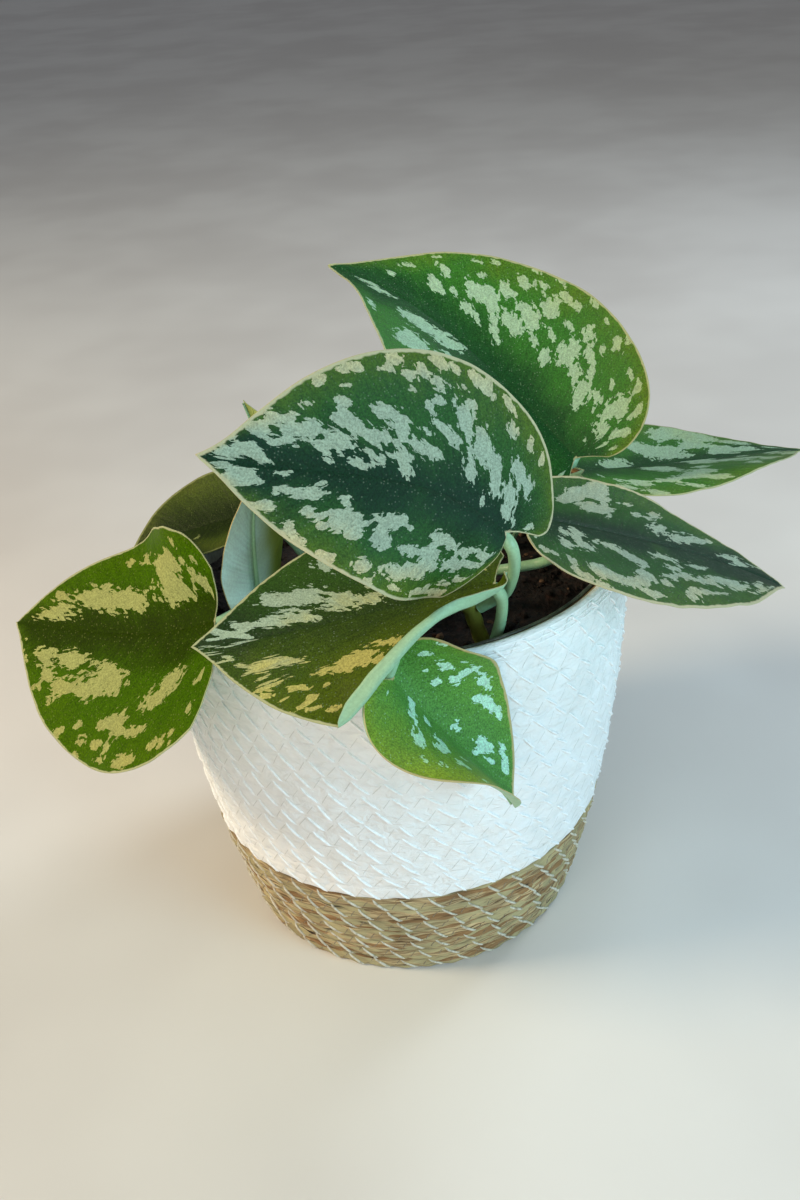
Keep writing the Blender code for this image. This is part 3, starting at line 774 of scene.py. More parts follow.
def rooted(x, y, *route):
    """A stalk's route that starts upright in its hole in the soil at (x, y)."""
    level = float(soil_level(x, y))
    return [(x, y, HOLE_FLOOR + GAP), (x, y, level - 4.0), (x, y, level + 0.6)] + list(route)


# Basket, liner and soil

def side_radius(z):
    """Outer radius of the basket at a height, over the crests of the braid."""
    t = z / HEIGHT
    return BASE_RADIUS + (RIM_RADIUS - BASE_RADIUS) * t + SIDE_BULGE * 4 * t * (1 - t)


def wall_surface(angle, z):
    """Radius of the wall between the stitches, and how hollow it is there, from 0 to 1."""
    within = z / ROW % 1.0
    groove = np.abs(2 * within - 1) ** 4
    arc = angle * ARC_RADIUS
    foot = ease((PAINT_LINE + 1 - z) / 2.0)
    puff = waves(11, arc, z * 1.3, 11.0)
    twist = np.sin(2 * math.pi * (arc / TWIST_LENGTH + within * 1.1 + 0.37 * np.floor(z / ROW)))
    relief = -BRAID_SINK - (GROOVE + FOOT_GROOVE * foot) * groove + PUFF * puff
    relief = relief + TWIST * foot * twist
    relief = relief + (1 - foot) * (CREASE * waves(13, arc, z * 0.8, 5.0) - 0.06)
    hollow = np.clip(groove * (0.55 + 0.45 * foot) - 0.25 * puff - 0.3 * foot * twist, 0, 1)
    return side_radius(z) + relief, hollow


def turned_piece(name, profile, steps, materials, node, slot, relief, bare_strips=0):
    """A closed turned mesh from a profile of (radius, height) that starts and ends on the axis.

    relief(radius, z, angle) shapes it. The first strips take the second material.
    """
    profile = np.asarray(profile, dtype=float)
    angle = np.linspace(0, 2 * math.pi, steps, endpoint=False)
    radius, z, hollow = relief(*(columns(track, steps) for track in profile.T), angle[None, :])
    index = np.arange(radius.size).reshape(radius.shape)
    index[0, :] = index[0, 0]
    index[-1, :] = index[-1, 0]
    faces = grid_faces(np.hstack([index, index[:, :1]]), flip=True)
    second = np.repeat(np.arange(len(profile) - 1) < bare_strips, steps)
    arc = np.repeat((np.abs(angle - math.pi) * ARC_RADIUS)[None, :], len(profile), axis=0)
    weave = np.stack([arc, columns(run_of(profile), steps), 0 * arc], axis=-1)
    add_piece(name, round_axis(radius, angle, z).reshape(-1, 3), faces, materials, node=node,
              slot=slot, face_materials=second, weave=weave.reshape(-1, 3), hollow=hollow.ravel())


def make_basket():
    inside = [(0.0, FLOOR), (40.0, FLOOR), (side_radius(FLOOR) - WALL, FLOOR)]
    inside += [(side_radius(z) - WALL, z) for z in np.arange(12.0, HEIGHT - 3, 3.0)]
    inside += [(RIM_RADIUS - WALL, HEIGHT - 2.0), (RIM_RADIUS - WALL * 0.86, HEIGHT - 0.8),
               (RIM_RADIUS - WALL * 0.62, HEIGHT - 0.15), (RIM_RADIUS - WALL * 0.38, HEIGHT)]
    rim = [(RIM_RADIUS - WALL * 0.16, HEIGHT - 0.45), (RIM_RADIUS - 0.35, HEIGHT - 1.3)]
    outside = [(side_radius(z), z) for z in np.linspace(HEIGHT - 2.2, 0.8, WALL_LEVELS)]
    under = [(BASE_RADIUS - 1.2, 0.1), (BASE_RADIUS - 2.4, 0.0), (30.0, 0.0), (0.0, 0.0)]
    first = len(inside) + len(rim)
    wall = slice(first, first + len(outside))
    shoulder = slice(first - len(rim), first)

    def relief(radius, z, angle):
        hollow = np.zeros(radius.shape)
        radius[wall], hollow[wall] = wall_surface(angle, z[wall])
        radius[shoulder] -= 0.25 * (1 + np.clip((HEIGHT - 1.0 - z[shoulder]) / 3.0, 0, 1))
        return radius, z, hollow

    turned_piece("basket_wall", inside + rim + outside + under, WALL_STEPS,
                 [seagrass("painted_seagrass", True), seagrass("bare_seagrass", False)],
                 "woven_basket", "seagrass_braid", relief, bare_strips=len(inside) - 2)


def thread(path, radius):
    """A stitch: a short rounded cord, thin at both ends."""
    t = np.linspace(0, 1, len(path))
    return tube_mesh(path, radius * np.sqrt(np.clip(1 - (2 * t - 1) ** 4, 0.06, 1)), CORD_SIDES)


def make_stitches():
    """Zigzag stitches round every row, and the cords laid along the rim."""
    draw = np.random.default_rng(5)
    sets = {"painted": [], "bare": []}
    for row in range(BRAID_ROWS):
        low = row * ROW
        count = int(round(2 * math.pi * side_radius(low + ROW / 2) / STITCH))
        phase = 0.5 * row + draw.uniform(-0.13, 0.13)
        kind = "bare" if low + ROW / 2 < PAINT_LINE else "painted"
        for k in range(count):
            lean = draw.uniform(-STITCH_LEAN, STITCH_LEAN, 3)
            top = low + ROW * (0.97 + STITCH_STRAY * draw.uniform(-1, 1))
            foot = low + ROW * (0.03 + STITCH_STRAY * draw.uniform(-1, 1))
            corners = ((k + phase + lean[0], top), (k + phase + 0.6 + lean[1], foot),
                       (k + phase + 1 + lean[0] * 0.5, top))
            for a, b, steps, radius, proud, sunk in (
                    (*corners[:2], 6, OVER_RADIUS, OVER_PROUD, 0.0),
                    (*corners[1:], 5, SUNK_RADIUS, SUNK_PROUD, 1.0)):
                t = np.linspace(0, 1, steps)
                angle = (a[0] + (b[0] - a[0]) * t) * 2 * math.pi / count
                z = np.minimum(a[1] + (b[1] - a[1]) * t, HEIGHT - 1.2)
                surface = wall_surface(angle, z)[0] + proud * np.sin(math.pi * t) ** 0.5 - 0.1
                stitch = thread(round_axis(surface, angle, z), radius * draw.uniform(0.85, 1.12))
                sets[kind].append((*stitch, sunk))
    for below, out, radius in RIM_CORDS:
        low = HEIGHT - below
        angle = np.linspace(0, 2 * math.pi, 241)
        z = low + 0.12 * waves(int(low * 10), angle * ARC_RADIUS, 0 * angle, 30.0)
        path = round_axis(side_radius(z) + out, angle, z)
        sets["painted"].append((*tube_mesh(path, np.full(241, radius), CORD_SIDES), 0.0))

    # The painted cords are a little whiter than the wall's paint, as a painted highlight. The third
    # colour of each set darkens the sunk legs as painted shade.
    skins = {"painted": ((250, 250, 249), (232, 231, 228), (208, 206, 201)),
             "bare": ((212, 206, 188), (150, 134, 104), (96, 80, 54))}
    for kind, stitches in sets.items():
        faces, shift = [], 0
        for points, corners, _, _ in stitches:
            faces += moved(corners, shift)
            shift += len(points)
        sunk = np.concatenate([np.full(len(stitch[0]), stitch[3]) for stitch in stitches])
        add_piece("basket_stitches_" + kind, np.vstack([stitch[0] for stitch in stitches]), faces,
                  [stitch_skin(kind + "_cord", *skins[kind])], slot="seagrass_braid",
                  weave=np.vstack([stitch[2] for stitch in stitches]), sunk=sunk)


def liner_radius(z):
    """Outer radius of the liner at a height."""
    return side_radius(z) - WALL - GAP


def make_liner():
    low = FLOOR + GAP
    heights = [low, *np.linspace(30.0, 100.0, 5), *np.arange(104.0, LINER_TOP, 2.0), LINER_TOP]
    inner = [(0.0, low + LINER_WALL), (liner_radius(low) - LINER_WALL, low + LINER_WALL)]
    inner += [(liner_radius(z) - LINER_WALL, z) for z in heights[1:]]
    outer = [(liner_radius(z), z) for z in reversed(heights)]

    def relief(radius, z, angle):
        free = ease((z - 112.0) / 20.0) * (radius > 20)
        crinkle = waves(31, angle * ARC_RADIUS, z * 0.8, 13.0, 8)
        top = (z > LINER_TOP - 0.5) * 0.35 * waves(33, angle * ARC_RADIUS, 0 * z, 30.0)
        return radius - 0.22 * free * (1 + crinkle) * 0.6, z - 0.3 * free + top * 0.6, 0 * radius

    turned_piece("liner_cup", inner + outer + [(0.0, low)], 240, [film("liner_film")],
                 "plastic_liner", "liner_film", relief)


def make_soil():
    inset = LINER_WALL + 2 * GAP
    low = FLOOR + LINER_WALL + 2 * GAP
    edge = SOIL_EDGE - 2.0
    radii = np.linspace(0, liner_radius(edge) - inset, 64)
    top = [(r, SOIL_EDGE) for r in radii]
    side = [(liner_radius(z) - inset, z) for z in (edge - 2, edge * 0.66, edge * 0.33, low)]

    def relief(radius, z, angle):
        x, y = radius * np.cos(angle), radius * np.sin(angle)
        level = soil_level(x, y) + 0.55 * waves(41, x, y, 9.0, 9) + 0.4 * waves(43, x, y, 3.6, 12)
        level = level - 2.0 * ease((radius - radii[-1] + 6) / 6)
        top_rows = np.arange(len(radius))[:, None] < len(top)
        return radius, np.where(top_rows, level, z), 0 * radius

    turned_piece("soil_surface", top + side + [(0.0, low)], 200, [peat("potting_mix", 0.75)],
                 "potting_soil", "potting_soil", relief)


def crumb_shape(draw, size):
    """A small angular lump: the 12 corners of an icosahedron, pushed in and out."""
    g = (1 + 5 ** 0.5) / 2
    corners = np.array([(-1, g, 0), (1, g, 0), (-1, -g, 0), (1, -g, 0), (0, -1, g), (0, 1, g),
                        (0, -1, -g), (0, 1, -g), (g, 0, -1), (g, 0, 1), (-g, 0, -1), (-g, 0, 1)])
    corners = corners / np.linalg.norm(corners[0]) * draw.uniform(0.65, 1.25, (12, 1))
    return corners * size * draw.uniform(0.55, 1.35, 3)


CRUMB_FACES = [(0, 11, 5), (0, 5, 1), (0, 1, 7), (0, 7, 10), (0, 10, 11), (1, 5, 9), (5, 11, 4),
               (11, 10, 2), (10, 7, 6), (7, 1, 8), (3, 9, 4), (3, 4, 2), (3, 2, 6), (3, 6, 8),
               (3, 8, 9), (4, 9, 5), (2, 4, 11), (6, 2, 10), (8, 6, 7), (9, 8, 1)]


def make_crumbs():
    """Lumps and bark bits lying on the soil, clear of the stalks."""
    draw = np.random.default_rng(17)
    points, faces, tone = [], [], []
    while len(points) < CRUMBS:
        r = CRUMB_REACH * math.sqrt(draw.uniform())
        turn = draw.uniform(0, 2 * math.pi)
        x, y = r * math.cos(turn), r * math.sin(turn)
        size = CRUMB_SIZES[0] + CRUMB_SIZES[1] * draw.uniform() ** 2.2
        shape = crumb_shape(draw, size)
        spin = draw.uniform(0, 2 * math.pi)
        shade = draw.uniform()
        if any(math.hypot(x - a, y - b) < radius + 2 * size + 0.5 for a, b, radius in ROOTS):
            continue
        cos, sin = math.cos(spin), math.sin(spin)
        shape = shape @ np.array([(cos, sin, 0), (-sin, cos, 0), (0, 0, 0.7)])
        level = float(soil_level(x, y)) - 2.0 * float(ease((r - 60.0) / 6))
        faces += moved(CRUMB_FACES, 12 * len(points))
        points.append(shape + (x, y, level + 0.2 * size))
        tone.append(np.full(12, shade))
    add_piece("soil_crumbs", np.vstack(points), faces, [peat("bark_crumbs", 0.9)],
              slot="potting_soil", tone=np.concatenate(tone))


def make_vine():
    """The short olive stem that carries the two leaves nearest the front."""
    route = rooted(*ROOT_VINE, (25.5, -43.0, 119.5), (24.0, -44.0, 125.0), (22.5, -45.0, 131.0),
                   (20.5, -47.5, 137.0), (17.0, -51.5, 141.0), (13.0, -56.0, 143.0))
    path = spline_through(route, 10)
    along = np.arange(len(path))
    radii = VINE_RADIUS * (1 + 0.05 * np.sin(along * 0.55) - 0.12 * ease((along - 70) / 12))
    points, faces, field = tube_mesh(path, radii, 18)
    add_piece("vine_skin_stem", points, faces,
              [stalk_skin("vine_skin", (136, 134, 56), (92, 88, 34), 0.1)],
              node="vine_stem", slot="vine_skin", vein=field)


def patches(*marks):
    """Patches as ellipses marked on enlargements of the photo and carried onto the leaf,
    as (line from the notch to the tip, share across, half sizes of both), with the first two in
    hundredths and the sizes in thousandths."""
    return [(line / 100, r / 100, half_line / 1000, half_r / 1000)
            for line, r, half_line, half_r in marks]


FRONT_LEFT = patches(
    (28, 70, 50, 30), (28, 48, 60, 40), (30, 32, 60, 60), (33, 78, 30, 30), (33, 89, 30, 30),
    (38, 56, 40, 70), (39, 40, 16, 40), (41, 91, 50, 20), (45, 38, 30, 50), (46, 65, 40, 60),
    (47, 74, 30, 40), (48, 53, 30, 50), (49, 38, 19, 50), (50, 92, 13, 20), (52, 81, 30, 60),
    (53, 59, 17, 40), (56, 41, 9, 20), (56, 96, 8, 20), (59, 39, 13, 50), (59, 87, 12, 50),
    (59, 62, 19, 60), (61, 45, 20, 80), (64, 68, 16, 60), (65, 94, 8, 20), (66, 56, 20, 90),
    (69, 94, 8, 30), (69, 58, 20, 90), (69, 74, 11, 50), (70, 42, 10, 30), (71, 36, 11, 30),
    (71, 94, 8, 30), (73, 68, 13, 60), (74, 100, 8, 40), (76, 46, 19, 110), (77, 25, 9, 60),
    (78, 85, 12, 60), (80, 54, 18, 100), (86, 70, 18, 150), (91, 57, 18, 200), (95, 43, 13, 290))
FRONT_RIGHT = patches(
    (7, 51, 30, 120), (26, 12, 70, 40), (28, 53, 40, 110), (32, 82, 11, 50), (34, 54, 20, 80),
    (35, 11, 16, 50), (35, 29, 30, 90), (37, 77, 13, 70), (38, 92, 8, 40), (41, 23, 16, 90),
    (41, 41, 16, 70), (43, 88, 12, 40), (44, 8, 8, 50), (44, 54, 20, 80), (45, 40, 18, 60),
    (45, 93, 8, 20), (46, 73, 8, 30), (47, 82, 8, 20), (48, 25, 17, 80), (48, 92, 8, 40),
    (48, 62, 15, 110), (51, 42, 14, 50), (51, 79, 13, 40), (51, 95, 9, 20), (52, 67, 8, 30),
    (53, 49, 14, 50), (53, 88, 8, 40), (54, 63, 8, 50), (55, 29, 12, 30), (55, 82, 12, 30),
    (56, 73, 8, 20), (56, 44, 8, 20), (58, 30, 16, 70), (58, 88, 11, 20), (60, 48, 14, 90),
    (62, 90, 8, 20), (62, 94, 8, 20), (62, 59, 18, 60), (63, 21, 20, 70), (63, 8, 10, 50),
    (64, 95, 9, 30), (65, 38, 30, 70), (65, 82, 8, 20), (67, 71, 14, 50), (68, 51, 19, 70),
    (68, 18, 10, 60), (69, 27, 9, 30), (69, 61, 13, 40), (72, 13, 17, 80), (72, 38, 18, 90),
    (72, 81, 9, 50), (73, 40, 11, 60), (75, 60, 19, 90), (76, 39, 15, 80), (76, 78, 10, 40),
    (77, 18, 9, 80), (78, 66, 14, 70), (78, 88, 16, 80), (80, 44, 8, 40), (81, 56, 15, 50),
    (82, 82, 18, 90), (83, 58, 11, 70), (92, 64, 40, 310))
BACK_LEFT = patches(
    (70, 61, 16, 70), (71, 15, 17, 100), (74, 21, 8, 100), (76, 34, 20, 130), (76, 89, 13, 30),
    (78, 39, 14, 100), (87, 30, 18, 170), (91, 26, 11, 220))
BACK_RIGHT = patches(
    (8, 72, 15, 70), (29, 37, 60, 80), (29, 88, 9, 20), (31, 65, 16, 50), (32, 52, 20, 50),
    (33, 83, 10, 30), (33, 16, 9, 20), (36, 64, 10, 30), (38, 48, 13, 40), (38, 97, 8, 30),
    (40, 88, 15, 60), (42, 75, 8, 30), (42, 31, 13, 50), (42, 59, 9, 40), (42, 43, 20, 70),
    (44, 93, 8, 20), (44, 65, 11, 50), (46, 77, 13, 50), (46, 46, 11, 50), (47, 98, 8, 30),
    (48, 62, 13, 50), (49, 50, 17, 70), (50, 87, 8, 30), (50, 71, 8, 30), (52, 88, 8, 40),
    (53, 57, 8, 30), (53, 98, 8, 30), (53, 39, 12, 60), (54, 75, 15, 80), (56, 89, 8, 30),
    (56, 45, 8, 30), (57, 56, 9, 50), (57, 98, 8, 20), (58, 63, 20, 80), (59, 86, 11, 50),
    (60, 45, 11, 60), (61, 74, 8, 20), (62, 51, 11, 60), (62, 77, 8, 70), (63, 95, 9, 20),
    (64, 31, 10, 70), (65, 67, 13, 70), (65, 53, 11, 90), (66, 93, 8, 20), (66, 81, 8, 30),
    (68, 66, 14, 80), (68, 37, 8, 50), (70, 44, 11, 70), (72, 95, 8, 20), (72, 58, 8, 40),
    (72, 80, 12, 80), (75, 56, 11, 90), (75, 68, 9, 50), (78, 88, 12, 40), (83, 72, 9, 60))
RIGHT_LEFT = patches(
    (44, 78, 20, 70), (48, 48, 20, 100), (49, 90, 12, 70), (52, 50, 22, 160), (56, 77, 12, 40),
    (59, 58, 12, 50), (62, 72, 12, 120), (65, 38, 22, 140), (71, 37, 22, 200), (74, 60, 12, 160),
    (82, 50, 16, 240), (86, 40, 16, 260), (88, 93, 10, 160))
RIGHT_RIGHT = patches(
    (33, 43, 20, 70), (36, 20, 20, 70), (38, 75, 20, 50), (39, 38, 30, 90), (40, 73, 12, 40),
    (41, 15, 20, 80), (43, 80, 20, 50), (46, 90, 12, 40), (47, 27, 20, 50), (49, 65, 20, 40),
    (50, 37, 20, 70), (52, 48, 20, 80), (55, 65, 20, 40), (57, 80, 12, 30), (60, 50, 20, 50),
    (60, 62, 20, 40), (61, 32, 30, 50), (64, 68, 20, 50), (64, 85, 20, 20), (68, 43, 30, 50),
    (69, 63, 30, 50), (72, 75, 40, 70), (78, 90, 30, 40))
FAR_LEFT = patches(
    (44, 7, 30, 100), (48, 3, 30, 160), (63, 27, 40, 150), (64, 97, 20, 80), (71, 85, 20, 70))
FAR_RIGHT = patches(
    (36, 55, 20, 50), (41, 62, 20, 60), (45, 63, 20, 60), (48, 75, 12, 50), (53, 22, 30, 90),
    (61, 82, 20, 60), (69, 7, 40, 190), (69, 40, 30, 80), (89, 8, 20, 290))
LOWER_LEFT = patches(
    (0, 58, 50, 30), (10, 91, 30, 20), (15, 68, 70, 20), (16, 94, 17, 20), (23, 90, 19, 20),
    (25, 57, 110, 30), (25, 83, 16, 20), (29, 87, 20, 20), (30, 67, 70, 40), (30, 75, 50, 30),
    (33, 90, 20, 20), (35, 79, 19, 20), (36, 97, 30, 20), (53, 78, 70, 50), (56, 87, 50, 40),
    (63, 90, 20, 20), (73, 89, 30, 30))
LOWER_RIGHT = patches(
    (62, 18, 20, 80), (67, 27, 30, 130), (70, 57, 30, 150), (74, 77, 20, 120), (76, 26, 20, 150),
    (81, 44, 30, 190), (87, 46, 9, 80), (90, 61, 16, 150))
YOUNG_LEFT = patches(
    (25, 93, 14, 70), (27, 58, 30, 60), (38, 35, 10, 20), (39, 56, 30, 60), (41, 76, 13, 30),
    (45, 34, 18, 40), (47, 66, 11, 30), (47, 77, 17, 40), (48, 52, 20, 60), (54, 79, 30, 60),
    (59, 62, 11, 60), (62, 75, 20, 80), (65, 18, 16, 70), (65, 84, 17, 40), (72, 42, 14, 90),
    (75, 46, 16, 100), (76, 17, 12, 90), (78, 75, 30, 70), (80, 38, 15, 80), (83, 72, 15, 100))
YOUNG_RIGHT = patches(
    (27, 28, 30, 30), (46, 8, 20, 190), (47, 48, 20, 70), (47, 71, 9, 30), (51, 71, 10, 40),
    (54, 11, 13, 60), (57, 36, 18, 80), (59, 62, 17, 50))
OLIVE_LEFT = patches(
    (20, 52, 40, 50), (21, 78, 14, 50), (32, 87, 11, 30), (38, 38, 30, 60), (40, 52, 40, 70),
    (40, 92, 20, 40), (42, 73, 40, 30), (46, 93, 13, 20), (48, 68, 20, 60), (49, 84, 9, 20),
    (51, 72, 10, 30), (52, 98, 9, 20), (53, 88, 9, 30), (56, 48, 30, 60), (60, 38, 40, 60),
    (62, 59, 30, 70), (67, 72, 20, 60), (72, 46, 40, 120), (72, 77, 20, 50), (78, 68, 30, 110))
OLIVE_RIGHT = patches(
    (22, 41, 80, 100), (36, 64, 30, 50), (42, 62, 30, 80), (43, 36, 40, 100), (55, 82, 11, 40),
    (59, 39, 50, 110), (68, 57, 40, 140), (76, 82, 16, 70), (83, 52, 60, 200))


def make_leaves():
    pale = leaf_under("leaf_underside", (158, 200, 178), (120, 164, 126), (160, 196, 160))
    stalk = stalk_skin("leaf_stalk", (148, 188, 146), (104, 146, 92), 0.0)
    dark = leaf_top("leaf_dark_top", (18, 50, 30), (40, 84, 36), (84, 106, 28),
                    gold=(186, 178, 132), rim=(190, 184, 144), rim_width=1.2)
    bright = leaf_top("leaf_mid_top", (26, 72, 32), (52, 112, 38), (92, 118, 26),
                      silver=(158, 188, 154), gold=(158, 178, 128), glow=0.1)
    lower_top = leaf_top("leaf_lower_top", (30, 52, 20), (46, 76, 24), (68, 86, 4),
                         silver=(150, 170, 146), gold=(170, 166, 92))
    young_top = leaf_top("leaf_young_top", (84, 138, 62), (90, 144, 58), (134, 156, 44),
                         silver=(182, 226, 200), gold=(176, 212, 160), rim=(186, 170, 120),
                         rim_width=1.1, glow=0.15)
    olive_top = leaf_top("leaf_olive_top", (38, 56, 0), (58, 92, 0), (70, 98, 0),
                         silver=(152, 158, 96), gold=(156, 156, 88), shine=0.03)
    plain_top = leaf_top("leaf_left_back_top", (34, 48, 12), (66, 84, 22), (74, 80, 24),
                         silver=(120, 132, 80), gold=(124, 122, 70), rim=(128, 134, 84))
    # painted light: this underside is lighter than the others, and olive where "warm", to stand for
    # light shining through the leaf
    painted_backlit_underside = leaf_under("leaf_pale_underside", (214, 246, 230), (104, 136, 88), (134, 148, 52),
                           veins=0.06)
    bud_top = leaf_top("leaf_bud_top", (140, 162, 56), (156, 172, 66), (170, 176, 88), glow=0.2)
    bud_under = leaf_under("leaf_bud_underside", (176, 190, 100), (140, 156, 76), (186, 192, 112))

    make_leaf(
        "leaf_front_large", "leaf_dark",
        Leaf(base=(30, -71, 172.5), length=82.5, half_widths=(28.5, 33), heading=(189, 192),
             pitch=(54, 22), arch=-20, roll=(49, 69), fold=1, cup=(6, 8), curl=(-14, 12),
             lift=(-42, -11), lobe=(0.2, 1.4), seed=1, warm=((-0.2, 0.6), (-0.2, 0.55)),
             warm_tip=-0.35),
        [(24.3, -47.6, 135.6), (28, -49.5, 139), (31, -54.5, 144.5), (32.3, -63, 156),
         (31.3, -70.5, 167)], STALK_RADIUS, [dark, pale, stalk],
        (FRONT_LEFT + flecks(1, 16, across=(0.86, 0.97)) + near_tip(19),
         FRONT_RIGHT + flecks(2, 14, across=(0.88, 0.97)) + near_tip(20)))
    make_leaf(
        "leaf_back_upright", "leaf_mid",
        Leaf(base=(60.5, 9.5, 152.5), length=107, half_widths=(42, 39), heading=(130, 158),
             pitch=(31, 12), arch=11, roll=(34, 1), fold=18, cup=(1, 10), curl=(-5, 3),
             lift=(5, 5), lobe=(0.8, 0.8), seed=3, warm=((-0.2, 0.2), (-0.2, 0.5)),
             warm_tip=-0.3),
        rooted(*ROOT_BACK, (34, 7, 121), (41, 8.5, 132), (48, 9.5, 142), (55, 10, 148)),
        STALK_RADIUS, [bright, pale, stalk],
        (grown(BACK_LEFT, 0.15) + flecks(3, 26, (0.1, 0.7), (0.2, 0.9), (0.014, 0.07)),
         BACK_RIGHT + flecks(4, 12, (0.05, 0.3), (0.3, 0.9), (0.012, 0.05))))
    make_leaf(
        "leaf_right_back", "leaf_mid",
        Leaf(base=(65, 20.5, 143), length=96, half_widths=(38, 38), heading=(24, 23),
             pitch=(-13, -11), arch=3, roll=(9, 14), fold=7, cup=(11, 5), curl=(5, -10),
             lift=(5, -11), lobe=(0.9, 0.9), seed=5, lines=160, per_line=26),
        rooted(*ROOT_RIGHT_BACK, (42, 20.5, 121), (49, 21.5, 130), (57, 21.5, 137)),
        STALK_RADIUS, [bright, pale, stalk],
        (FAR_LEFT + flecks(5, 44, (0.2, 0.9), (0.2, 0.95), (0.018, 0.07)),
         FAR_RIGHT + flecks(6, 34, (0.2, 0.9), (0.2, 0.95), (0.014, 0.06))))
    make_leaf(
        "leaf_right_front", "leaf_dark",
        Leaf(base=(42.5, -45, 162), length=83.5, half_widths=(33.5, 33.5), heading=(6, 11),
             pitch=(-19, -34), arch=2, roll=(0, -3), fold=1, cup=(-5, -5), curl=(28, -9),
             lift=(-8, 0), lobe=(0.9, 0.9), seed=7, warm=((-0.1, 0.3), (0.0, 0.35))),
        rooted(*ROOT_RIGHT, (23, -16, 122), (28, -20, 130), (36, -26, 135), (44, -27.5, 137),
               (48, -32, 142), (47, -39, 151)), STALK_RADIUS, [dark, pale, stalk],
        (RIGHT_LEFT + flecks(7, 24, (0.05, 0.5), (0.3, 0.95), (0.014, 0.06)),
         RIGHT_RIGHT + flecks(8, 20, (0.1, 0.9), (0.7, 0.97), (0.012, 0.04))))
    hem = ((0.0, 4.0, 3.0, 7.5, 7.0), (0.25, 2.8, 1.2, 5.5, 4.6), (0.5, 2.6, 0.8, 1.8, 2.4),
           (0.7, 1.0, 1.0, -0.6, 2.8), (0.8, 0.0, 1.1, -1.6, 3.0), (0.88, -0.8, 1.0, -2.4, 2.6),
           (0.93, -0.8, 0.8, -2.4, 2.2), (0.97, -0.6, 0.5, -1.6, 1.4),
           (0.99, -0.3, 0.3, -0.8, 0.7), (1.0, 0.0, 0.0, 0.0, 0.0))
    make_leaf(
        "leaf_lower_left", "leaf_olive",
        Leaf(base=(27, -67.5, 156), length=83, half_widths=(38, 35), heading=(188, 174),
             pitch=(-4, -5), arch=-6, roll=(6, 27), fold=0, cup=(-5, -9), lift=(55, -8),
             lobe=(0.7, 0.7), notch=(0.65, 0.2), seed=9, warm=((0.48, 0.5), (0.4, -0.3)),
             warm_tip=-0.9, hem=hem),
        rooted(*ROOT_LOWER, (26, -53.5, 120), (27.5, -55.5, 129), (29, -59.5, 139),
               (29, -63.5, 148)), STALK_RADIUS, [lower_top, pale, stalk],
        (LOWER_LEFT + flecks(9, 12, across=(0.85, 0.96)) + near_tip(21),
         LOWER_RIGHT + flecks(10, 24, (0.1, 0.6), (0.2, 0.9), (0.014, 0.06)) + near_tip(22)))
    make_leaf(
        "leaf_hanging_young", "leaf_young",
        Leaf(base=(-1.5, -83, 139), length=57, half_widths=(23.5, 26), heading=(-7, 6),
             pitch=(-59, -69), arch=12, roll=(-19, -8), fold=29, cup=(20, 12), curl=(18, -10),
             lift=(38, -35), seed=11, ripple=0.3, warm=((-0.1, 0.2), (0.1, 0.9)),
             turned=(0.0, 1.4), lines=160, per_line=26),
        [(12.5, -56.6, 143.2), (9, -62, 144.5), (4, -71, 145.5), (0, -79, 143)],
        YOUNG_STALK_RADIUS, [young_top, pale, stalk],
        (grown(YOUNG_LEFT, 0.12),
         grown(YOUNG_RIGHT, 0.12) + flecks(12, 5, (0.5, 0.9), (0.3, 0.9), (0.012, 0.04))))
    make_leaf(
        "leaf_left_large", "leaf_olive",
        Leaf(base=(-49.5, -57, 144), length=84.5, half_widths=(41.5, 31.5), heading=(158, 141),
             pitch=(-28, -17), arch=11, roll=(33, 46), fold=3, cup=(-15, -22), curl=(-4, 18),
             lift=(15, 54), lobe=(0.5, 0.5), notch=(0.22, 0.22), trim=(0.355, 0.055), seed=13),
        rooted(*ROOT_LEFT, (-27, -37, 120), (-32, -42, 131), (-41, -49.5, 141)),
        STALK_RADIUS, [olive_top, pale, stalk],
        (grown(OLIVE_LEFT, 0.08) + flecks(13, 16, across=(0.8, 0.96)),
         grown(OLIVE_RIGHT, 0.15) + flecks(14, 10, (0.1, 0.5), (0.3, 0.9), (0.012, 0.05))))
    make_leaf(
        "leaf_left_back", "leaf_olive",
        Leaf(base=(-43, -8.5, 150.5), length=40.5, half_widths=(17.5, 18), heading=(180, 181),
             pitch=(-12, -30), arch=6, roll=(15, 17), fold=10, cup=(5, 4), lift=(5, 12),
             seed=15, ripple=0.25, lines=90, per_line=18),
        rooted(*ROOT_LEFT_BACK, (-25, -4.2, 121), (-29, -5, 134), (-36, -7, 145)),
        YOUNG_STALK_RADIUS, [plain_top, pale, stalk], (flecks(15, 4, size=(0.014, 0.06)), ()),
        veins=7)
    make_leaf(
        "leaf_pale_upright", "leaf_pale",
        Leaf(base=(-41.5, -31.5, 124), length=54, half_widths=(21, 18.5), heading=(-33, -38),
             pitch=(88, 66), arch=7, roll=(-12, -6), fold=0, cup=(3, 1), curl=(-2, -13),
             lift=(6, -25), lobe=(0.7, 0.7), seed=17, ripple=0.3,
             warm=((0.4, 1.1), (0.1, -0.3)), warm_tip=-0.5, lines=100, per_line=20),
        rooted(*ROOT_PALE, (-39, -29.5, 120)), YOUNG_STALK_RADIUS, [young_top, painted_backlit_underside, stalk],
        [flecks(seed, 12, size=(0.02, 0.07)) for seed in (17, 18)], veins=8)
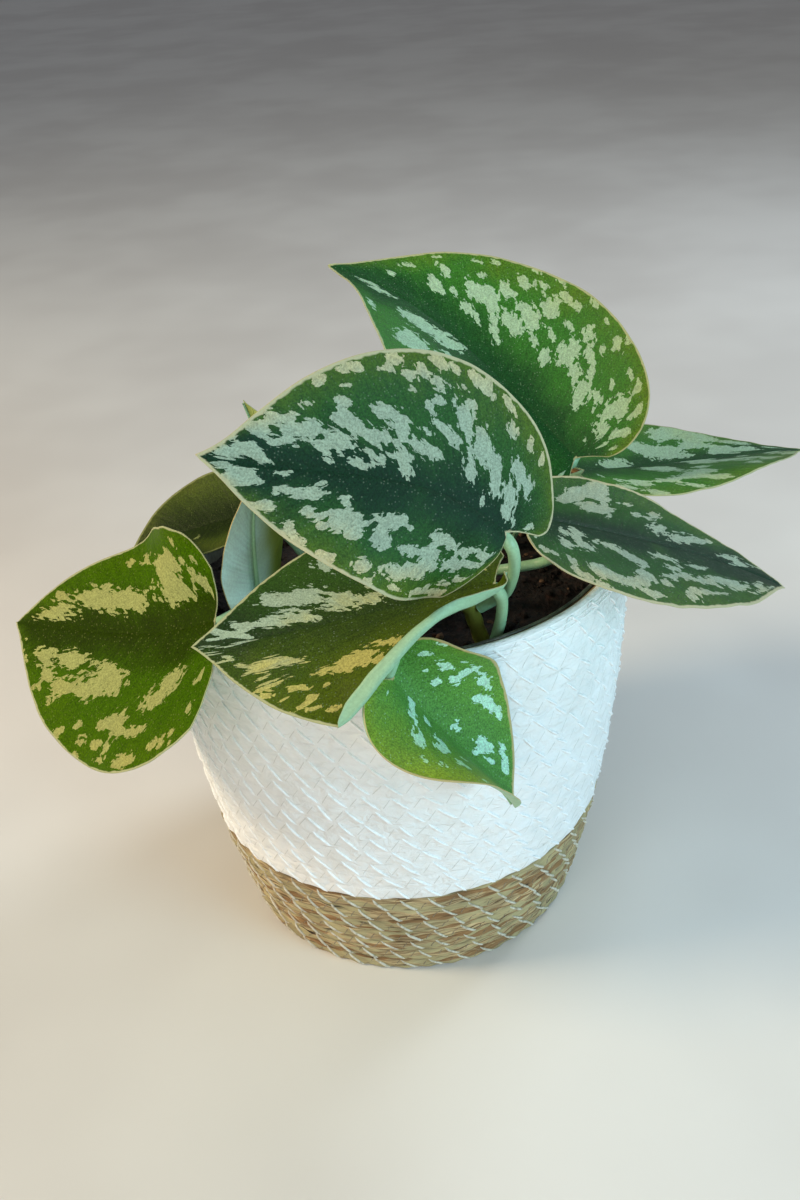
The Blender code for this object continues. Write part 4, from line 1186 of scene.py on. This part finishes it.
    make_leaf(
        "leaf_bud", "leaf_bud",
        Leaf(base=(-34.5, -1.5, 160), length=27, half_widths=(8, 8), heading=(215, 215),
             pitch=(82, 72), roll=(0, 0), fold=20, cup=(50, 50), lobe=(0.2, 0.2),
             notch=(0.36, 0.36), seed=19, ripple=0.1, lines=60, per_line=14),
        rooted(*ROOT_BUD, (-17, 5.7, 122), (-22, 4, 136), (-30, 0.5, 150)),
        YOUNG_STALK_RADIUS, [bud_top, bud_under, stalk], veins=5)


# Studio

def make_floor():
    s = Shade("pale_floor")
    cloud = s.noise(s.place, 0.25, 3, 0.6)
    s.finish(s.blend(cloud, 0.35, 0.65, (206, 203, 198), (218, 216, 211)), 0.6, 0.3)
    mesh = bpy.data.meshes.new("floor")
    corners = [(x * FLOOR_HALF, y * FLOOR_HALF, 0) for x, y in ((-1, -1), (1, -1), (1, 1), (-1, 1))]
    mesh.from_pydata(corners, [], [(0, 1, 2, 3)])
    mesh.materials.append(s.material)
    floor = bpy.data.objects.new("floor", mesh)
    bpy.context.scene.collection.objects.link(floor)


def light_scene():
    """Area lights that face the plant, and a dim sky."""
    for name, place, size, power, colour in LIGHTS:
        light = bpy.data.lights.new(name, "AREA")
        light.shape = "DISK"
        light.size = size
        light.energy = power
        light.color = colour
        lamp = bpy.data.objects.new(name, light)
        lamp.location = place
        toward = Vector(LIGHT_AIM) - Vector(place)
        lamp.rotation_euler = toward.to_track_quat("-Z", "Y").to_euler()
        bpy.context.scene.collection.objects.link(lamp)
    world = bpy.data.worlds.new("studio")
    world.use_nodes = True
    backdrop = world.node_tree.nodes["Background"]
    backdrop.inputs["Color"].default_value = SKY_COLOUR
    backdrop.inputs["Strength"].default_value = SKY_STRENGTH
    bpy.context.scene.world = world
    bpy.context.scene.view_settings.view_transform = "Standard"


def place_camera():
    camera = bpy.data.cameras.new("camera")
    camera.sensor_width = CAMERA_SENSOR
    camera.lens = CAMERA_LENS
    viewer = bpy.data.objects.new("camera", camera)
    right = Vector(CAMERA_RIGHT).normalized()
    ahead = Vector(CAMERA_AHEAD).normalized()
    turned = Matrix((right, right.cross(ahead).normalized(), -ahead)).transposed()
    viewer.matrix_world = Matrix.Translation(CAMERA_PLACE) @ turned.to_4x4()
    bpy.context.scene.collection.objects.link(viewer)
    bpy.context.scene.camera = viewer


place_camera()
make_floor()
light_scene()
make_basket()
make_stitches()
make_liner()
make_soil()
make_crumbs()
make_vine()
make_leaves()

bpy.context.view_layer.update()
